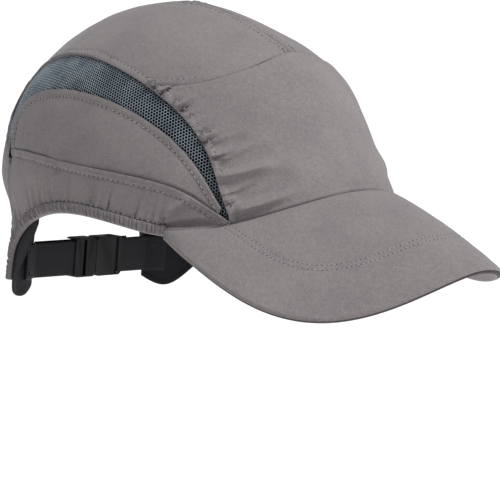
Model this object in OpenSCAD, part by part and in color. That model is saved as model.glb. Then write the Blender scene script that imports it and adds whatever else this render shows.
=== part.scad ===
// Bump cap: fabric crown on a vented plastic shell, curved visor, rear strap with a side-release clip.
// Millimetres. +Z up, visor towards -Y, +X is the wearer's left, origin at the head opening's centre.

/* [Crown] */
// Half width of the head opening over the fabric
half_width = 87.7; // [80:0.1:100]
// Centre of the head opening to the fabric at the forehead
front_len = 110.9; // [98:0.1:125]
// Centre of the head opening to the fabric at the back
rear_len = 108.9; // [98:0.1:125]
// Head opening level to the top of the crown
crown_height = 109.3; // [95:0.1:130]
// How far the top sits behind the middle of the opening
crown_lean = 11.4; // [0:0.1:16]
// Height of the forehead break above the smooth dome
brow_bulge = 3.4; // [0:0.1:5]
// How far the face below the break is pulled flat
face_flat = 3.7; // [0:0.1:5]
// How far the strap pulls the two tails in
tail_pinch = 20; // [0:0.5:26]

/* [Fabric] */
// Outer fabric with its lining
fabric_t = 1.2; // [0.8:0.1:2]
// Gap left along each side of a seam
seam_gap = 0.3; // [0.2:0.05:0.6]
// Bound edge of the ear cut-outs and the rear opening
hem_width = 5; // [3:0.5:8]
// How far the bound edges stand proud on each face
hem_proud = 0.4; // [0.2:0.1:1]
// Lining behind each tail
liner_t = 1.2; // [0.8:0.1:2]
// How far the grey tails reach below the head opening
tail_drop = 37; // [30:0.5:45]
// How far the linings reach below the grey tails
liner_drop = 9; // [4:0.5:14]

/* [Rear opening] */
// Half width of the opening over the strap
arch_half = 43.5; // [36:0.5:50]
// Level where the arch springs from the tails
arch_foot = -25; // [-30:0.5:-20]
// Rise of the arch above that level
arch_rise = 43; // [36:0.5:50]

/* [Visor] */
// Half width across the corners
visor_half = 81.2; // [78:0.1:90]
// Forehead seam to the tip
visor_reach = 69.7; // [55:0.1:80]
// How far the sides swell past the corners
visor_swell = 0.28; // [0:0.01:0.4]
// Droop of the sides below the tip
visor_droop = 102.4; // [70:0.1:120]
// Level of the tip against the head opening
visor_tip = -2.2; // [-12:0.1:6]
// Share of the droop that the wearer's left side keeps
visor_left_droop = 0.5; // [0.4:0.05:1]
// Swell of the wearer's left side
visor_left_swell = 0.1; // [0:0.01:0.4]
// How pointed the wearer's left side is, against 1.22 on the right
visor_left_point = 1.5; // [1.2:0.01:1.7]
// Crowning between the seam and the edge
visor_crown = 3; // [0:0.1:6]
// Height of the forehead seam at its middle
brim_height = 26.5; // [18:0.5:32]
// Cover fabric on each face
visor_cover_t = 0.9; // [0.6:0.1:1.5]
// Stiffener board
visor_board_t = 1.9; // [1.2:0.1:3]
// Radius of the bound rim
visor_rim_r = 2.1; // [1.6:0.1:3]

/* [Shell and pads] */
// Fabric to the shell
shell_gap = 1.4; // [0.8:0.1:4]
// Shell wall
shell_t = 2; // [1.5:0.1:3]
// Shell to the pads and the sweatband
pad_gap = 0.6; // [0.2:0.1:1]
// Foam pads
pad_t = 4.5; // [3:0.5:8]
// Sweatband
sweatband_t = 2.2; // [1.5:0.1:4]
// Sweatband height at the forehead
sweatband_height = 28; // [20:0.5:36]

/* [Strap] */
// Webbing width
strap_width = 18; // [12:0.5:25]
// Webbing thickness
strap_t = 1.5; // [1:0.1:2]
// Middle of the strap against the head opening
strap_level = -28.8; // [-34:0.1:-22]
// Sewn length on each tail
strap_sewn = 11; // [8:0.5:16]
// Webbing turned back and sewn at the housing
strap_lap = 11; // [8:0.5:12]
// Free end of the webbing past the base, for taking up the size
strap_tail = 30; // [20:1:32]

/* [Clip] */
// Height of both halves
clip_height = 20.5; // [16:0.5:28]
// Thickness of both halves
clip_depth = 7.6; // [6:0.2:10]
// Length of the half with the mouth
housing_len = 20; // [18:0.5:28]
// Length of the half that takes the long strap
base_len = 16.5; // [14:0.5:22]
// Split line between the halves, towards the wearer's left
clip_split = 3.4; // [0:0.1:16]
// Wall of the mouth
clip_wall = 1.5; // [1.2:0.1:2.4]
// Radius of the outer corners
clip_round = 2.4; // [1:0.1:4]
// Length of each latch prong
prong_len = 15; // [11:0.5:18]
// Height of each prong's arm
prong_arm = 2.6; // [1.8:0.1:3.4]
// Running gap between the halves
clip_play = 0.35; // [0.2:0.05:0.6]
// Bars that hold the webbing
clip_bar = 2.8; // [2:0.1:4]

/* [Hidden] */
$fn = 48;

// Seams on the crown: angle from the front, then degrees up the crown.
mesh_top_seam = [[47, 4.5], [57.5, 20], [37.5, 38.5], [110.5, 42], [91.5, 63], [189, 44], [150, 12], [128, 10.2]];
mesh_low_seam = [[47, 4], [59.5, 12], [49.5, 31.5], [103.5, 25], [60, 42.5], [169, 33], [128.5, 20.5], [126.5, 9]];
steps_along = 24;
corner_step = 8;
ridge_step = 23;
// Ear cut-out: angle from the front, then millimetres above the head opening.
ear_edge = [[65, 0], [88, 0], [108.5, 30], [127.5, -33.5], [120.5, -16], [125, -36 - (tail_drop - 37)]];
brow_at = 44;
flat_at = 24;
rise_power = 0.85;
brim_span = 67;
brim_power = 1.45;
corner_angle = 47;
steps_front = 16;
steps_visor = 28;

shell_out = fabric_t + shell_gap;
shell_in = shell_out + shell_t;
pad_out = shell_in + pad_gap;
pad_in = pad_out + pad_t;
liner_out = fabric_t + hem_proud + seam_gap;
liner_in = liner_out + liner_t;
split_x = clip_split;
base_x = split_x - base_len;
clip_y = strap_line_y();
clip_half_in = clip_height / 2 - clip_wall - clip_play;

function power(b, e) = b <= 0 ? 0 : pow(b, e);
function smooth(t) = let (u = min(1, max(0, t))) u * u * (3 - 2 * u);
function bell(a, mid, wide) = exp(-pow((a - mid) / wide, 2));
function bez(p, t) = len(p) == 1 ? p[0] : bez([for (i = [0 : len(p) - 2]) p[i] * (1 - t) + p[i + 1] * t], t);
function run(p, a, b, n) = [for (i = [0 : n]) bez(p, a + (b - a) * i / n)];

// Height for a place v up the crown, and back: v below 0 is millimetres down the skirt.
function rise(v) = v < 0 ? v : crown_height * power(sin(v), rise_power);
function place(z) = z < 0 ? z : asin(power(min(1, z / crown_height), 1 / rise_power));

// Point on the crown at angle th, place v, depth d under the outer face.
function skin(th, v, d) =
    let (c = cos(th), cf = max(0, c), cr = max(0, -c), ps = max(0, v))
    let (e = 1.22 + 0.03 * cf * cf - 0.1 * cr * cr)
    let (f = power(cos(ps), e), g = power(sin(ps), rise_power))
    let (w = (brow_bulge * bell(ps, brow_at, 12.5) - face_flat * bell(ps, flat_at, 10.3)) * power(cf, 1.5))
    let (z = (crown_height - d) * g + min(0, v))
    let (pull = tail_pinch * smooth((abs(th) - 120) / 30) * smooth((15 - z) / 28))
    [(half_width - d) * f * sin(th) + w * sin(th) * cos(ps),
     -((c > 0 ? front_len : rear_len) - d) * f * c + crown_lean * g - w * c * cos(ps) - pull,
     z + w * sin(ps)];

// Flat map of the crown with its top at the middle.
function flat(p) = let (r = (90 - p[1]) / 90) [r * sin(p[0]), -r * cos(p[0])];
function unflat(q) = [atan2(q[0], -q[1]), 90 - 90 * norm(q)];
function mapped(a) = [for (p = a) flat(p)];
function mirrored(a) = [for (p = a) [-p[0], p[1]]];
function flipped(a) = [for (i = [len(a) - 1 : -1 : 0]) a[i]];
function tail(a) = [for (i = [1 : len(a) - 1]) a[i]];

// Net of map points between four border lines.
function net(b, t, l, r) =
    let (n = len(b) - 1, m = len(l) - 1)
    [for (i = [0 : n]) [for (j = [0 : m]) let (s = i / n, u = j / m)
        b[i] * (1 - u) + t[i] * u + l[j] * (1 - s) + r[j] * s
        - b[0] * (1 - s) * (1 - u) - b[n] * s * (1 - u) - t[0] * (1 - s) * u - t[n] * s * u]];
function strip(b, t, m) = [for (i = [0 : len(b) - 1]) [for (j = [0 : m]) b[i] * (1 - j / m) + t[i] * j / m]];

// Lay a net on the crown at a depth that runs from d0 at its low border to d1 at its high one.
function laid(g, d0, d1) = let (m = len(g[0]) - 1)
    [for (row = g) [for (j = [0 : m]) let (p = unflat(row[j])) skin(p[0], p[1], d0 + (d1 - d0) * j / m)]];
function toward(a, b, k) = norm(b - a) < 0.001 ? a : a + (b - a) * k / norm(b - a);
function tucked(g, k) = let (n = len(g) - 1, m = len(g[0]) - 1)
    [for (i = [0 : n]) [for (j = [0 : m])
        let (ii = i == 0 ? 1 : i == n ? n - 1 : i, jj = j == 0 ? 1 : j == m ? m - 1 : j)
        let (a = ii == i ? g[i][j] : toward(g[i][j], g[ii][j], k))
        jj == j ? a : toward(a, a + g[i][jj] - g[i][j], k)]];
function flatten(a) = [for (row = a) for (p = row) p];

// Solid between an outer and an inner net.
module skin_solid(outer, inner) {
    n = len(outer) - 1;
    m = len(outer[0]) - 1;
    k = (n + 1) * (m + 1);
    function at(i, j) = i * (m + 1) + j;
    polyhedron(points = concat(flatten(outer), flatten(inner)), faces = concat(
        [for (i = [0 : n - 1]) for (j = [0 : m - 1]) [at(i, j), at(i, j + 1), at(i + 1, j + 1)]],
        [for (i = [0 : n - 1]) for (j = [0 : m - 1]) [at(i, j), at(i + 1, j + 1), at(i + 1, j)]],
        [for (i = [0 : n - 1]) for (j = [0 : m - 1]) [k + at(i, j), k + at(i + 1, j + 1), k + at(i, j + 1)]],
        [for (i = [0 : n - 1]) for (j = [0 : m - 1]) [k + at(i, j), k + at(i + 1, j), k + at(i + 1, j + 1)]],
        [for (i = [0 : n - 1]) [at(i, 0), at(i + 1, 0), k + at(i + 1, 0)]],
        [for (i = [0 : n - 1]) [at(i, 0), k + at(i + 1, 0), k + at(i, 0)]],
        [for (i = [0 : n - 1]) [at(i + 1, m), at(i, m), k + at(i, m)]],
        [for (i = [0 : n - 1]) [at(i + 1, m), k + at(i, m), k + at(i + 1, m)]],
        [for (j = [0 : m - 1]) [at(0, j + 1), at(0, j), k + at(0, j)]],
        [for (j = [0 : m - 1]) [at(0, j + 1), k + at(0, j), k + at(0, j + 1)]],
        [for (j = [0 : m - 1]) [at(n, j), at(n, j + 1), k + at(n, j + 1)]],
        [for (j = [0 : m - 1]) [at(n, j), k + at(n, j + 1), k + at(n, j)]]));
}

module panel(g, d_out, d_in) {
    skin_solid(tucked(laid(g, d_out, d_out), seam_gap), tucked(laid(g, d_in, d_in), seam_gap));
}

// Seam lines as lists of angle and place.
function brim(th) = place(brim_height * power(cos(th * 90 / brim_span), brim_power));
function brim_run(a, b, n) = [for (i = [0 : n]) let (th = a + (b - a) * i / n) [th, brim(th)]];
function ridge_seam() = [[corner_angle, 3.5], [68.5, 11.5], [53, 12], [114, 11], [101.5, 14],
                         bez(mesh_low_seam, ridge_step / steps_along)];
function top_seam() = [[0, 51.5], [26, 50.5], [44, 38], bez(mesh_top_seam, corner_step / steps_along)];
function rear_seam() = [[127.2, 8], [127, -8], [131, -tail_drop]];
function ear_line(k, n) = [for (i = [0 : n]) let (t = i / n, p = bez(ear_edge, t))
    let (a = bez(ear_edge, max(0, t - 0.01)), b = bez(ear_edge, min(1, t + 0.01)))
    let (tx = (b[0] - a[0]) * 1.6, tz = b[1] - a[1], q = sqrt(tx * tx + tz * tz))
    [p[0] - k * tz / q / 1.6, place(p[1] + k * tx / q)]];
// Edge of the rear opening, grown by k, from the tail's foot up to the middle.
function arch_side(x, z) = [180 - asin(min(0.999, x / (half_width * power(cos(max(0, place(z))), 1.12)))), place(z)];
function arch_line(k, n) = concat(
    [for (i = [0 : 2]) arch_side(arch_half + k, -tail_drop + (arch_foot + tail_drop) * i / 3)],
    [for (i = [0 : n]) arch_side((arch_half + k) * cos(90 * i / n), arch_foot + (arch_rise + k) * sin(90 * i / n))]);

module front_panel() {
    color("dimgray") {
        b = mapped(brim_run(-corner_angle, corner_angle, steps_front));
        half = mapped(run(top_seam(), 0, 1, steps_front / 2));
        t = concat(mirrored(flipped(half)), tail(half));
        r = mapped(concat([[corner_angle, brim(corner_angle)]], run(mesh_top_seam, 0, corner_step / steps_along, corner_step)));
        panel(net(b, t, mirrored(r), r), 0, fabric_t);
    }
}

module crown_panel() {
    low = mapped(concat(run(mesh_top_seam, corner_step / steps_along, 1, steps_along - corner_step),
                        run(rear_seam(), 0, 1, 11)));
    arch = flipped(arch_line(hem_width, 9));
    back = place(arch_foot + arch_rise + hem_width);
    middle = [for (i = [0 : 16]) [0, -(90 - 51.5) / 90 + ((90 - back) / 90 + (90 - 51.5) / 90) * i / 16]];
    top = concat(middle, mapped(tail(arch)));
    front = mapped(flipped(run(top_seam(), 0, 1, 8)));
    last = len(low) - 1;
    foot = [for (j = [0 : 8]) low[last] * (1 - j / 8) + top[last] * j / 8];
    panel(net(low, top, front, foot), 0, fabric_t);
}
module crown_panel_left() { color("gray") crown_panel(); }
module crown_panel_right() { color("gray") mirror([1, 0, 0]) crown_panel(); }

module mesh_panel() {
    panel(strip(mapped(run(mesh_low_seam, 0, 1, steps_along)),
                mapped(run(mesh_top_seam, 0, 1, steps_along)), 4), 0.1, fabric_t);
}
module mesh_left() { color("slategray") mesh_panel(); }
module mesh_right() { color("slategray") mirror([1, 0, 0]) mesh_panel(); }

module side_panel() {
    // Half a step is left out at each end, where the two seams meet.
    panel(strip(mapped(run(ridge_seam(), 0.7 / ridge_step, (ridge_step - 0.6) / ridge_step, ridge_step)),
                mapped(run(mesh_low_seam, 0.7 / steps_along, (ridge_step - 0.6) / steps_along, ridge_step)), 4),
          0, fabric_t);
}
module side_panel_left() { color("gray") side_panel(); }
module side_panel_right() { color("gray") mirror([1, 0, 0]) side_panel(); }

module lower_band() {
    low = concat(brim_run(corner_angle, 65, 5), tail(ear_line(hem_width, 28)));
    top = concat(run(ridge_seam(), 0, 1, ridge_step), [bez(mesh_low_seam, 1)], run(rear_seam(), 0, 1, 8));
    panel(strip(mapped(low), mapped(top), 4), 0, fabric_t);
}
module lower_band_left() { color("dimgray") lower_band(); }
module lower_band_right() { color("dimgray") mirror([1, 0, 0]) lower_band(); }

module ear_hem() {
    panel(strip(mapped(tail(ear_line(0, 24))), mapped(tail(ear_line(hem_width, 24))), 2),
          -hem_proud, fabric_t + hem_proud);
}
module ear_hem_left() { color("darkgray") ear_hem(); }
module ear_hem_right() { color("darkgray") mirror([1, 0, 0]) ear_hem(); }

module rear_binding() {
    color("darkgray") {
        near = mapped(arch_line(0, 9));
        far = mapped(arch_line(hem_width, 9));
        panel(strip(concat(near, tail(mirrored(flipped(near)))), concat(far, tail(mirrored(flipped(far)))), 2),
              -hem_proud, fabric_t + hem_proud);
    }
}

module tail_liner() {
    foot = tail_drop + liner_drop;
    low = [for (i = [0 : 12]) let (q = bez([[110, -4], [119, -foot + 12], [133, -foot - 10], [149.3, -foot + 5]], i / 12))
        [q[0], place(q[1])]];
    top = [for (i = [0 : 12]) let (th = 110 + 39.3 * i / 12) [th, place(14 - 26 * smooth((i - 4) / 9))]];
    panel(strip(mapped(low), mapped(top), 5), liner_out, liner_in);
}
module tail_liner_left() { color("black") tail_liner(); }
module tail_liner_right() { color("black") mirror([1, 0, 0]) tail_liner(); }

// Visor outline at angle a, from -90 at one corner to 90 at the other, and the face between seam and outline.
function droop_at(t, keep) = keep * (-visor_droop * t * t + (visor_droop - 6.8) * pow(t, 4) + 8.6 * pow(t, 6))
    + (1 - keep) * 1.8 * t * t;
function outline(a) = let (s = sin(a), c = max(0, cos(a)), t = abs(s), left = a > 0)
    [visor_half * s * (1 + (left ? visor_left_swell : visor_swell) * c * t * 2),
     -46.6 - (front_len + visor_reach - 46.6) * pow(c, left ? visor_left_point : 1.22),
     visor_tip + droop_at(t, left ? visor_left_droop : 1)];
function seam_at(a) = let (th = a * brim_span / 90) skin(th, brim(th), -2 * seam_gap);
function visor_face(a, r, dz) = let (p = seam_at(a), q = outline(a))
    p * (1 - r) + q * r + [0, 0, visor_crown * 4 * r * (1 - r) + dz];
// Net from the seam side, s0 off it, to s1 short of the outline.
function visor_net(a, s0, s1, dz, m) = [for (i = [0 : steps_visor]) let (b = -a + 2 * a * i / steps_visor)
    let (wide = norm(outline(b) - seam_at(b)), r0 = s0 / wide, r1 = 1 - s1 / wide)
    [for (j = [0 : m]) visor_face(b, r1 + (r0 - r1) * j / m, dz)]];
module visor_layer(a, s0, s1, top_z, low_z) {
    skin_solid(visor_net(a, s0, s1, top_z, 7), visor_net(a, s0, s1, low_z, 7));
}
visor_in = visor_rim_r + 0.15;
visor_face_z = visor_board_t / 2 + 0.3;
module visor_top_cover() {
    color("dimgray") visor_layer(85, 0, visor_in, visor_face_z + visor_cover_t, visor_face_z);
}
module visor_board() {
    color("beige") visor_layer(80, 2.5, visor_in + 0.7, visor_board_t / 2, -visor_board_t / 2);
}
module visor_under_cover() {
    color("gray") visor_layer(85, 0, visor_in + 1.5, -visor_face_z, -visor_face_z - visor_cover_t);
}
module visor_rim() {
    color("black") {
        n = 44;
        ring = [for (i = [0 : n]) let (a = -86 + 172 * i / n)
            let (p = outline(a), q = outline(a + 0.5) - outline(a - 0.5), u = q / norm(q))
            let (v = cross(u, [0, 0, 1]), s = v / norm(v), w = cross(s, u))
            [for (j = [0 : 9]) p + visor_rim_r * (s * cos(36 * j) + w * sin(36 * j)) * (i == 0 || i == n ? 0.8 : 1)]];
        polyhedron(points = flatten(ring), faces = concat(
            [for (i = [0 : n - 1]) for (j = [0 : 9]) [i * 10 + j, i * 10 + (j + 1) % 10, i * 10 + 10 + (j + 1) % 10]],
            [for (i = [0 : n - 1]) for (j = [0 : 9]) [i * 10 + j, i * 10 + 10 + (j + 1) % 10, i * 10 + 10 + j]],
            [[for (j = [9 : -1 : 0]) j]],
            [[for (j = [0 : 9]) n * 10 + j]]));
    }
}

module sweatband() {
    function deep(j) = j == 0 ? fabric_t + seam_gap + hem_proud : pad_out;
    color("black") {
        low = [for (i = [0 : 28]) let (th = -98 + 7 * i) [th, place(rise(max(brim(th), 0)) + 1.5 + 6 * smooth((abs(th) - 62) / 20))]];
        top = [for (i = [0 : 28]) let (th = -98 + 7 * i)
            [th, place(rise(brim(th)) + sweatband_height - 5 * smooth((abs(th) - 60) / 35))]];
        g = strip(mapped(low), mapped(top), 5);
        out = [for (row = g) [for (j = [0 : 5]) let (p = unflat(row[j])) skin(p[0], p[1], deep(j))]];
        in = [for (row = g) [for (j = [0 : 5]) let (p = unflat(row[j])) skin(p[0], p[1], deep(j) + sweatband_t)]];
        skin_solid(out, in);
    }
}

// Shell from its rim to the top: rings of cells, some left open as vents.
shell_n = 40;
shell_m = 11;
function shell_rim(th) = let (c = cos(th)) 19 - 4 * max(0, c) * max(0, c) + 4 * max(0, -c) * max(0, -c);
function vent(i, j) = (j == 2 || j == 3 || j == 5 || j == 6) && (i % 4 == 1);
module inner_shell() {
    n = shell_n;
    m = shell_m;
    k = n * m;
    function pt(i, j, d) = let (th = 360 * i / n - 180, lo = shell_rim(th)) skin(th, lo + (90 - lo) * j / m, d);
    function at(i, j) = j * n + i % n;
    function wall(a, b) = [[a, b, k + b], [a, k + b, k + a]];
    color("white") {
        outer = [for (j = [0 : m - 1]) [for (i = [0 : n - 1]) pt(i, j, shell_out)]];
        inner = [for (j = [0 : m - 1]) [for (i = [0 : n - 1]) pt(i, j, shell_in)]];
        po = 2 * k;
        pi = 2 * k + 1;
        solid = [for (j = [0 : m - 2]) for (i = [0 : n - 1]) if (!vent(i, j)) [i, j]];
        open = [for (j = [0 : m - 2]) for (i = [0 : n - 1]) if (vent(i, j)) [i, j]];
        polyhedron(points = concat(flatten(outer), flatten(inner), [skin(0, 90, shell_out), skin(0, 90, shell_in)]),
            faces = concat(
                [for (c = solid) [at(c[0], c[1]), at(c[0], c[1] + 1), at(c[0] + 1, c[1] + 1)]],
                [for (c = solid) [at(c[0], c[1]), at(c[0] + 1, c[1] + 1), at(c[0] + 1, c[1])]],
                [for (c = solid) [k + at(c[0], c[1]), k + at(c[0] + 1, c[1] + 1), k + at(c[0], c[1] + 1)]],
                [for (c = solid) [k + at(c[0], c[1]), k + at(c[0] + 1, c[1]), k + at(c[0] + 1, c[1] + 1)]],
                [for (i = [0 : n - 1]) [at(i, m - 1), po, at(i + 1, m - 1)]],
                [for (i = [0 : n - 1]) [k + at(i, m - 1), k + at(i + 1, m - 1), pi]],
                [for (i = [0 : n - 1]) for (f = wall(at(i, 0), at(i + 1, 0))) f],
                [for (c = open) if (!vent(c[0], c[1] + 1)) for (f = wall(at(c[0], c[1] + 1), at(c[0] + 1, c[1] + 1))) f],
                [for (c = open) if (!vent(c[0], c[1] - 1)) for (f = wall(at(c[0] + 1, c[1]), at(c[0], c[1]))) f],
                [for (c = open) for (f = wall(at(c[0], c[1]), at(c[0], c[1] + 1))) f],
                [for (c = open) for (f = wall(at(c[0] + 1, c[1] + 1), at(c[0] + 1, c[1]))) f]));
    }
}

module crown_pad() {
    n = 24;
    k = 3 * n;
    function at(i, j) = j * n + i % n;
    color("darkslategray") {
        outer = [for (j = [0 : 2]) for (i = [0 : n - 1]) skin(360 * i / n, 66 + 8 * j, pad_out)];
        inner = [for (j = [0 : 2]) for (i = [0 : n - 1]) skin(360 * i / n, 66 + 8 * j, pad_in)];
        polyhedron(points = concat(outer, inner, [skin(0, 90, pad_out), skin(0, 90, pad_in)]), faces = concat(
            [for (j = [0 : 1]) for (i = [0 : n - 1]) [at(i, j), at(i, j + 1), at(i + 1, j + 1)]],
            [for (j = [0 : 1]) for (i = [0 : n - 1]) [at(i, j), at(i + 1, j + 1), at(i + 1, j)]],
            [for (j = [0 : 1]) for (i = [0 : n - 1]) [k + at(i, j), k + at(i + 1, j + 1), k + at(i, j + 1)]],
            [for (j = [0 : 1]) for (i = [0 : n - 1]) [k + at(i, j), k + at(i + 1, j), k + at(i + 1, j + 1)]],
            [for (i = [0 : n - 1]) [at(i, 2), 2 * k, at(i + 1, 2)]],
            [for (i = [0 : n - 1]) [k + at(i, 2), k + at(i + 1, 2), 2 * k + 1]],
            [for (i = [0 : n - 1]) [at(i, 0), at(i + 1, 0), k + at(i + 1, 0)]],
            [for (i = [0 : n - 1]) [at(i, 0), k + at(i + 1, 0), k + at(i, 0)]]));
    }
}

// Pad with rounded ends, centred on an angle.
module pad(mid, half, lo, hi) {
    n = 12;
    low = [for (i = [0 : n]) let (u = 2 * i / n - 1) [mid + half * u, lo + 5 * power(abs(u), 4)]];
    top = [for (i = [0 : n]) let (u = 2 * i / n - 1) [mid + half * u, hi - 5 * power(abs(u), 4)]];
    skin_solid(laid(strip(mapped(low), mapped(top), 4), pad_out, pad_out),
               laid(strip(mapped(low), mapped(top), 4), pad_in, pad_in));
}
module front_pad() { color("darkslategray") pad(0, 30, 37, 60); }
module rear_pad() { color("darkslategray") pad(180, 32, 30, 58); }
module side_pad_left() { color("darkslategray") pad(90, 32, 32, 58); }
module side_pad_right() { color("darkslategray") mirror([1, 0, 0]) pad(90, 32, 32, 58); }

// Strap: sewn inside each tail, then straight across the back.
function tail_in_y(x) = let (th = 180 - asin(x / (half_width - liner_in)))
    skin(th, strap_level, liner_in + 0.15)[1];
function strap_line_y() = tail_in_y(arch_half) - strap_t / 2;
function strap_path(x0) = concat([[x0, strap_line_y()]],
    [for (i = [0 : 5]) let (x = arch_half - 1 + (strap_sewn + 1) * i / 5)
        [x, min(strap_line_y(), tail_in_y(x) - strap_t / 2)]]);
module webbing(path) {
    up = [for (p = path) [p[0], p[1] + strap_t / 2]];
    down = [for (i = [len(path) - 1 : -1 : 0]) [path[i][0], path[i][1] - strap_t / 2]];
    translate([0, 0, strap_level - strap_width / 2]) linear_extrude(strap_width) polygon(concat(up, down));
}
housing_x = split_x + housing_len;
// Middle of the last bar of the housing, and of the bar of the base that the long strap goes round.
housing_bar_x = housing_x - clip_bar / 2 - 0.2;
base_bar_x = base_x + clip_bar / 2 + 3.6;
loop_r = clip_bar / 2 + clip_play;
module strap_loop(x, side, lap) {
    translate([x, clip_y + loop_r + strap_t / 2, strap_level - strap_width / 2]) linear_extrude(strap_width) {
        intersection() {
            difference() {
                circle(loop_r + strap_t);
                circle(loop_r);
            }
            translate([side > 0 ? 0 : -20, -20]) square([20, 40]);
        }
        translate([side > 0 ? -lap : 0, loop_r]) square([lap, strap_t]);
    }
}
module strap_left() {
    color("black") {
        webbing(strap_path(housing_bar_x));
        strap_loop(housing_bar_x, -1, strap_lap);
    }
}
module strap_right() {
    color("black") {
        mirror([1, 0, 0]) webbing(strap_path(-base_bar_x));
        strap_loop(base_bar_x, 1, strap_tail);
    }
}

module rounded(x, z, r) {
    union() {
        translate([r, 0]) square([x - 2 * r, z]);
        translate([0, r]) square([x, z - 2 * r]);
        for (i = [r, x - r]) for (j = [r, z - r]) translate([i, j]) circle(r);
    }
}
clip_mid_y = clip_y + loop_r + strap_t / 2;
module slab(x0, x1, z_half, y_half, r) {
    translate([x0, clip_mid_y + y_half, strap_level - z_half]) rotate([90, 0, 0])
        linear_extrude(2 * y_half) rounded(x1 - x0, 2 * z_half, r);
}
module block(x0, x1, z0, z1, y_half) {
    translate([x0, clip_mid_y - y_half, strap_level + z0]) cube([x1 - x0, 2 * y_half, z1 - z0]);
}
mouth_len = prong_len + 1;
barb_x = split_x + prong_len - 5;
module clip_housing() {
    color("black") difference() {
        slab(split_x, housing_x, clip_height / 2, clip_depth / 2, clip_round);
        block(split_x - 1, split_x + mouth_len, -clip_height / 2 + clip_wall, clip_height / 2 - clip_wall,
              clip_depth / 2 - clip_wall);
        block(barb_x - 0.6, split_x + mouth_len - 0.6, -clip_height, clip_height, clip_depth / 2 - clip_wall - 0.2);
        block(housing_bar_x - clip_bar / 2 - strap_t - 2 * clip_play, housing_bar_x - clip_bar / 2,
              -strap_width / 2 - clip_play, strap_width / 2 + clip_play, clip_depth);
        strap_window(housing_bar_x, 1);
    }
}
// Room for the webbing on its way out past a bar.
module strap_window(x, side) {
    // The bar is thinner than it is wide, so that the webbing's turn clears its corners.
    bar_half = 0.65 * clip_bar / 2;
    reach = loop_r + strap_t + clip_play;
    for (s = [-1, 1]) translate([side > 0 ? x - clip_bar / 2 - 0.01 : x - 12,
        clip_mid_y + (s > 0 ? bar_half : -reach), strap_level - strap_width / 2 - clip_play])
        cube([12 + clip_bar / 2 + 0.01, reach - bar_half + (s > 0 ? clip_depth : 0), strap_width + 2 * clip_play]);
}
tongue_half = 2.2;
module clip_base() {
    color("black") {
        difference() {
            slab(base_x, split_x - clip_play, clip_height / 2, clip_depth / 2, clip_round);
            block(base_bar_x + clip_bar / 2, base_bar_x + clip_bar / 2 + strap_t + 2 * clip_play,
                  -strap_width / 2 - clip_play, strap_width / 2 + clip_play, clip_depth);
            strap_window(base_bar_x, -1);
            for (s = [-1, 1]) prong_socket(s);
        }
        block(split_x - clip_play - 1, split_x + prong_len - 1, -tongue_half, tongue_half, clip_depth / 2 - clip_wall - clip_play);
    }
}
prong_y = clip_depth / 2 - clip_wall - clip_play - 0.1;
prong_root_x = split_x - 2.6;
prong_root_z = clip_half_in - prong_arm / 2 - 0.6;
prong_tip = split_x + prong_len - prong_root_x;
prong_barb = barb_x - prong_root_x;
barb_rise = 2;
// Slot in the base where a prong's root turns.
module prong_socket(s) {
    translate([prong_root_x, clip_mid_y + prong_y + 0.15, strap_level + s * prong_root_z]) rotate([90, 0, 0])
        cylinder(h = 2 * prong_y + 0.3, r = prong_arm / 2 + 0.45);
    z0 = s > 0 ? prong_root_z - prong_arm / 2 - 2.4 : -prong_root_z - prong_arm / 2 - 0.4;
    z1 = s > 0 ? prong_root_z + prong_arm / 2 + 0.4 : -prong_root_z + prong_arm / 2 + 2.4;
    block(prong_root_x, split_x + 1, z0, z1, prong_y + 0.15);
}
module prong() {
    translate([prong_root_x, clip_mid_y + prong_y, strap_level + prong_root_z]) rotate([90, 0, 0])
        linear_extrude(2 * prong_y) {
            circle(prong_arm / 2);
            polygon([[0, -prong_arm / 2], [prong_tip - 0.8, -prong_arm / 2], [prong_tip, -prong_arm / 2 + 0.8],
                     [prong_tip, prong_arm / 2 - 0.6], [prong_barb + 1.2, prong_arm / 2 + barb_rise],
                     [prong_barb, prong_arm / 2 + barb_rise], [prong_barb, prong_arm / 2], [0, prong_arm / 2]]);
        }
}
module prong_upper() { color("black") prong(); }
module prong_lower() {
    color("black") translate([0, 0, 2 * strap_level]) mirror([0, 0, 1]) prong();
}

front_panel();
crown_panel_left();
crown_panel_right();
mesh_left();
mesh_right();
side_panel_left();
side_panel_right();
lower_band_left();
lower_band_right();
ear_hem_left();
ear_hem_right();
rear_binding();
tail_liner_left();
tail_liner_right();
visor_top_cover();
visor_board();
visor_under_cover();
visor_rim();
sweatband();
inner_shell();
crown_pad();
front_pad();
rear_pad();
side_pad_left();
side_pad_right();
strap_left();
strap_right();
clip_housing();
clip_base();
prong_upper();
prong_lower();
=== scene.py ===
# Bump cap: grey polycotton and mesh over a vented shell, curved visor, rear strap with a side-release clip.
# +Z is up, the visor points towards -Y and +X is the wearer's left. Shapes are worked out in millimetres
# and turned to metres when a mesh is made.
import bmesh
import bpy
import numpy as np
from mathutils import Matrix, Vector


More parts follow.
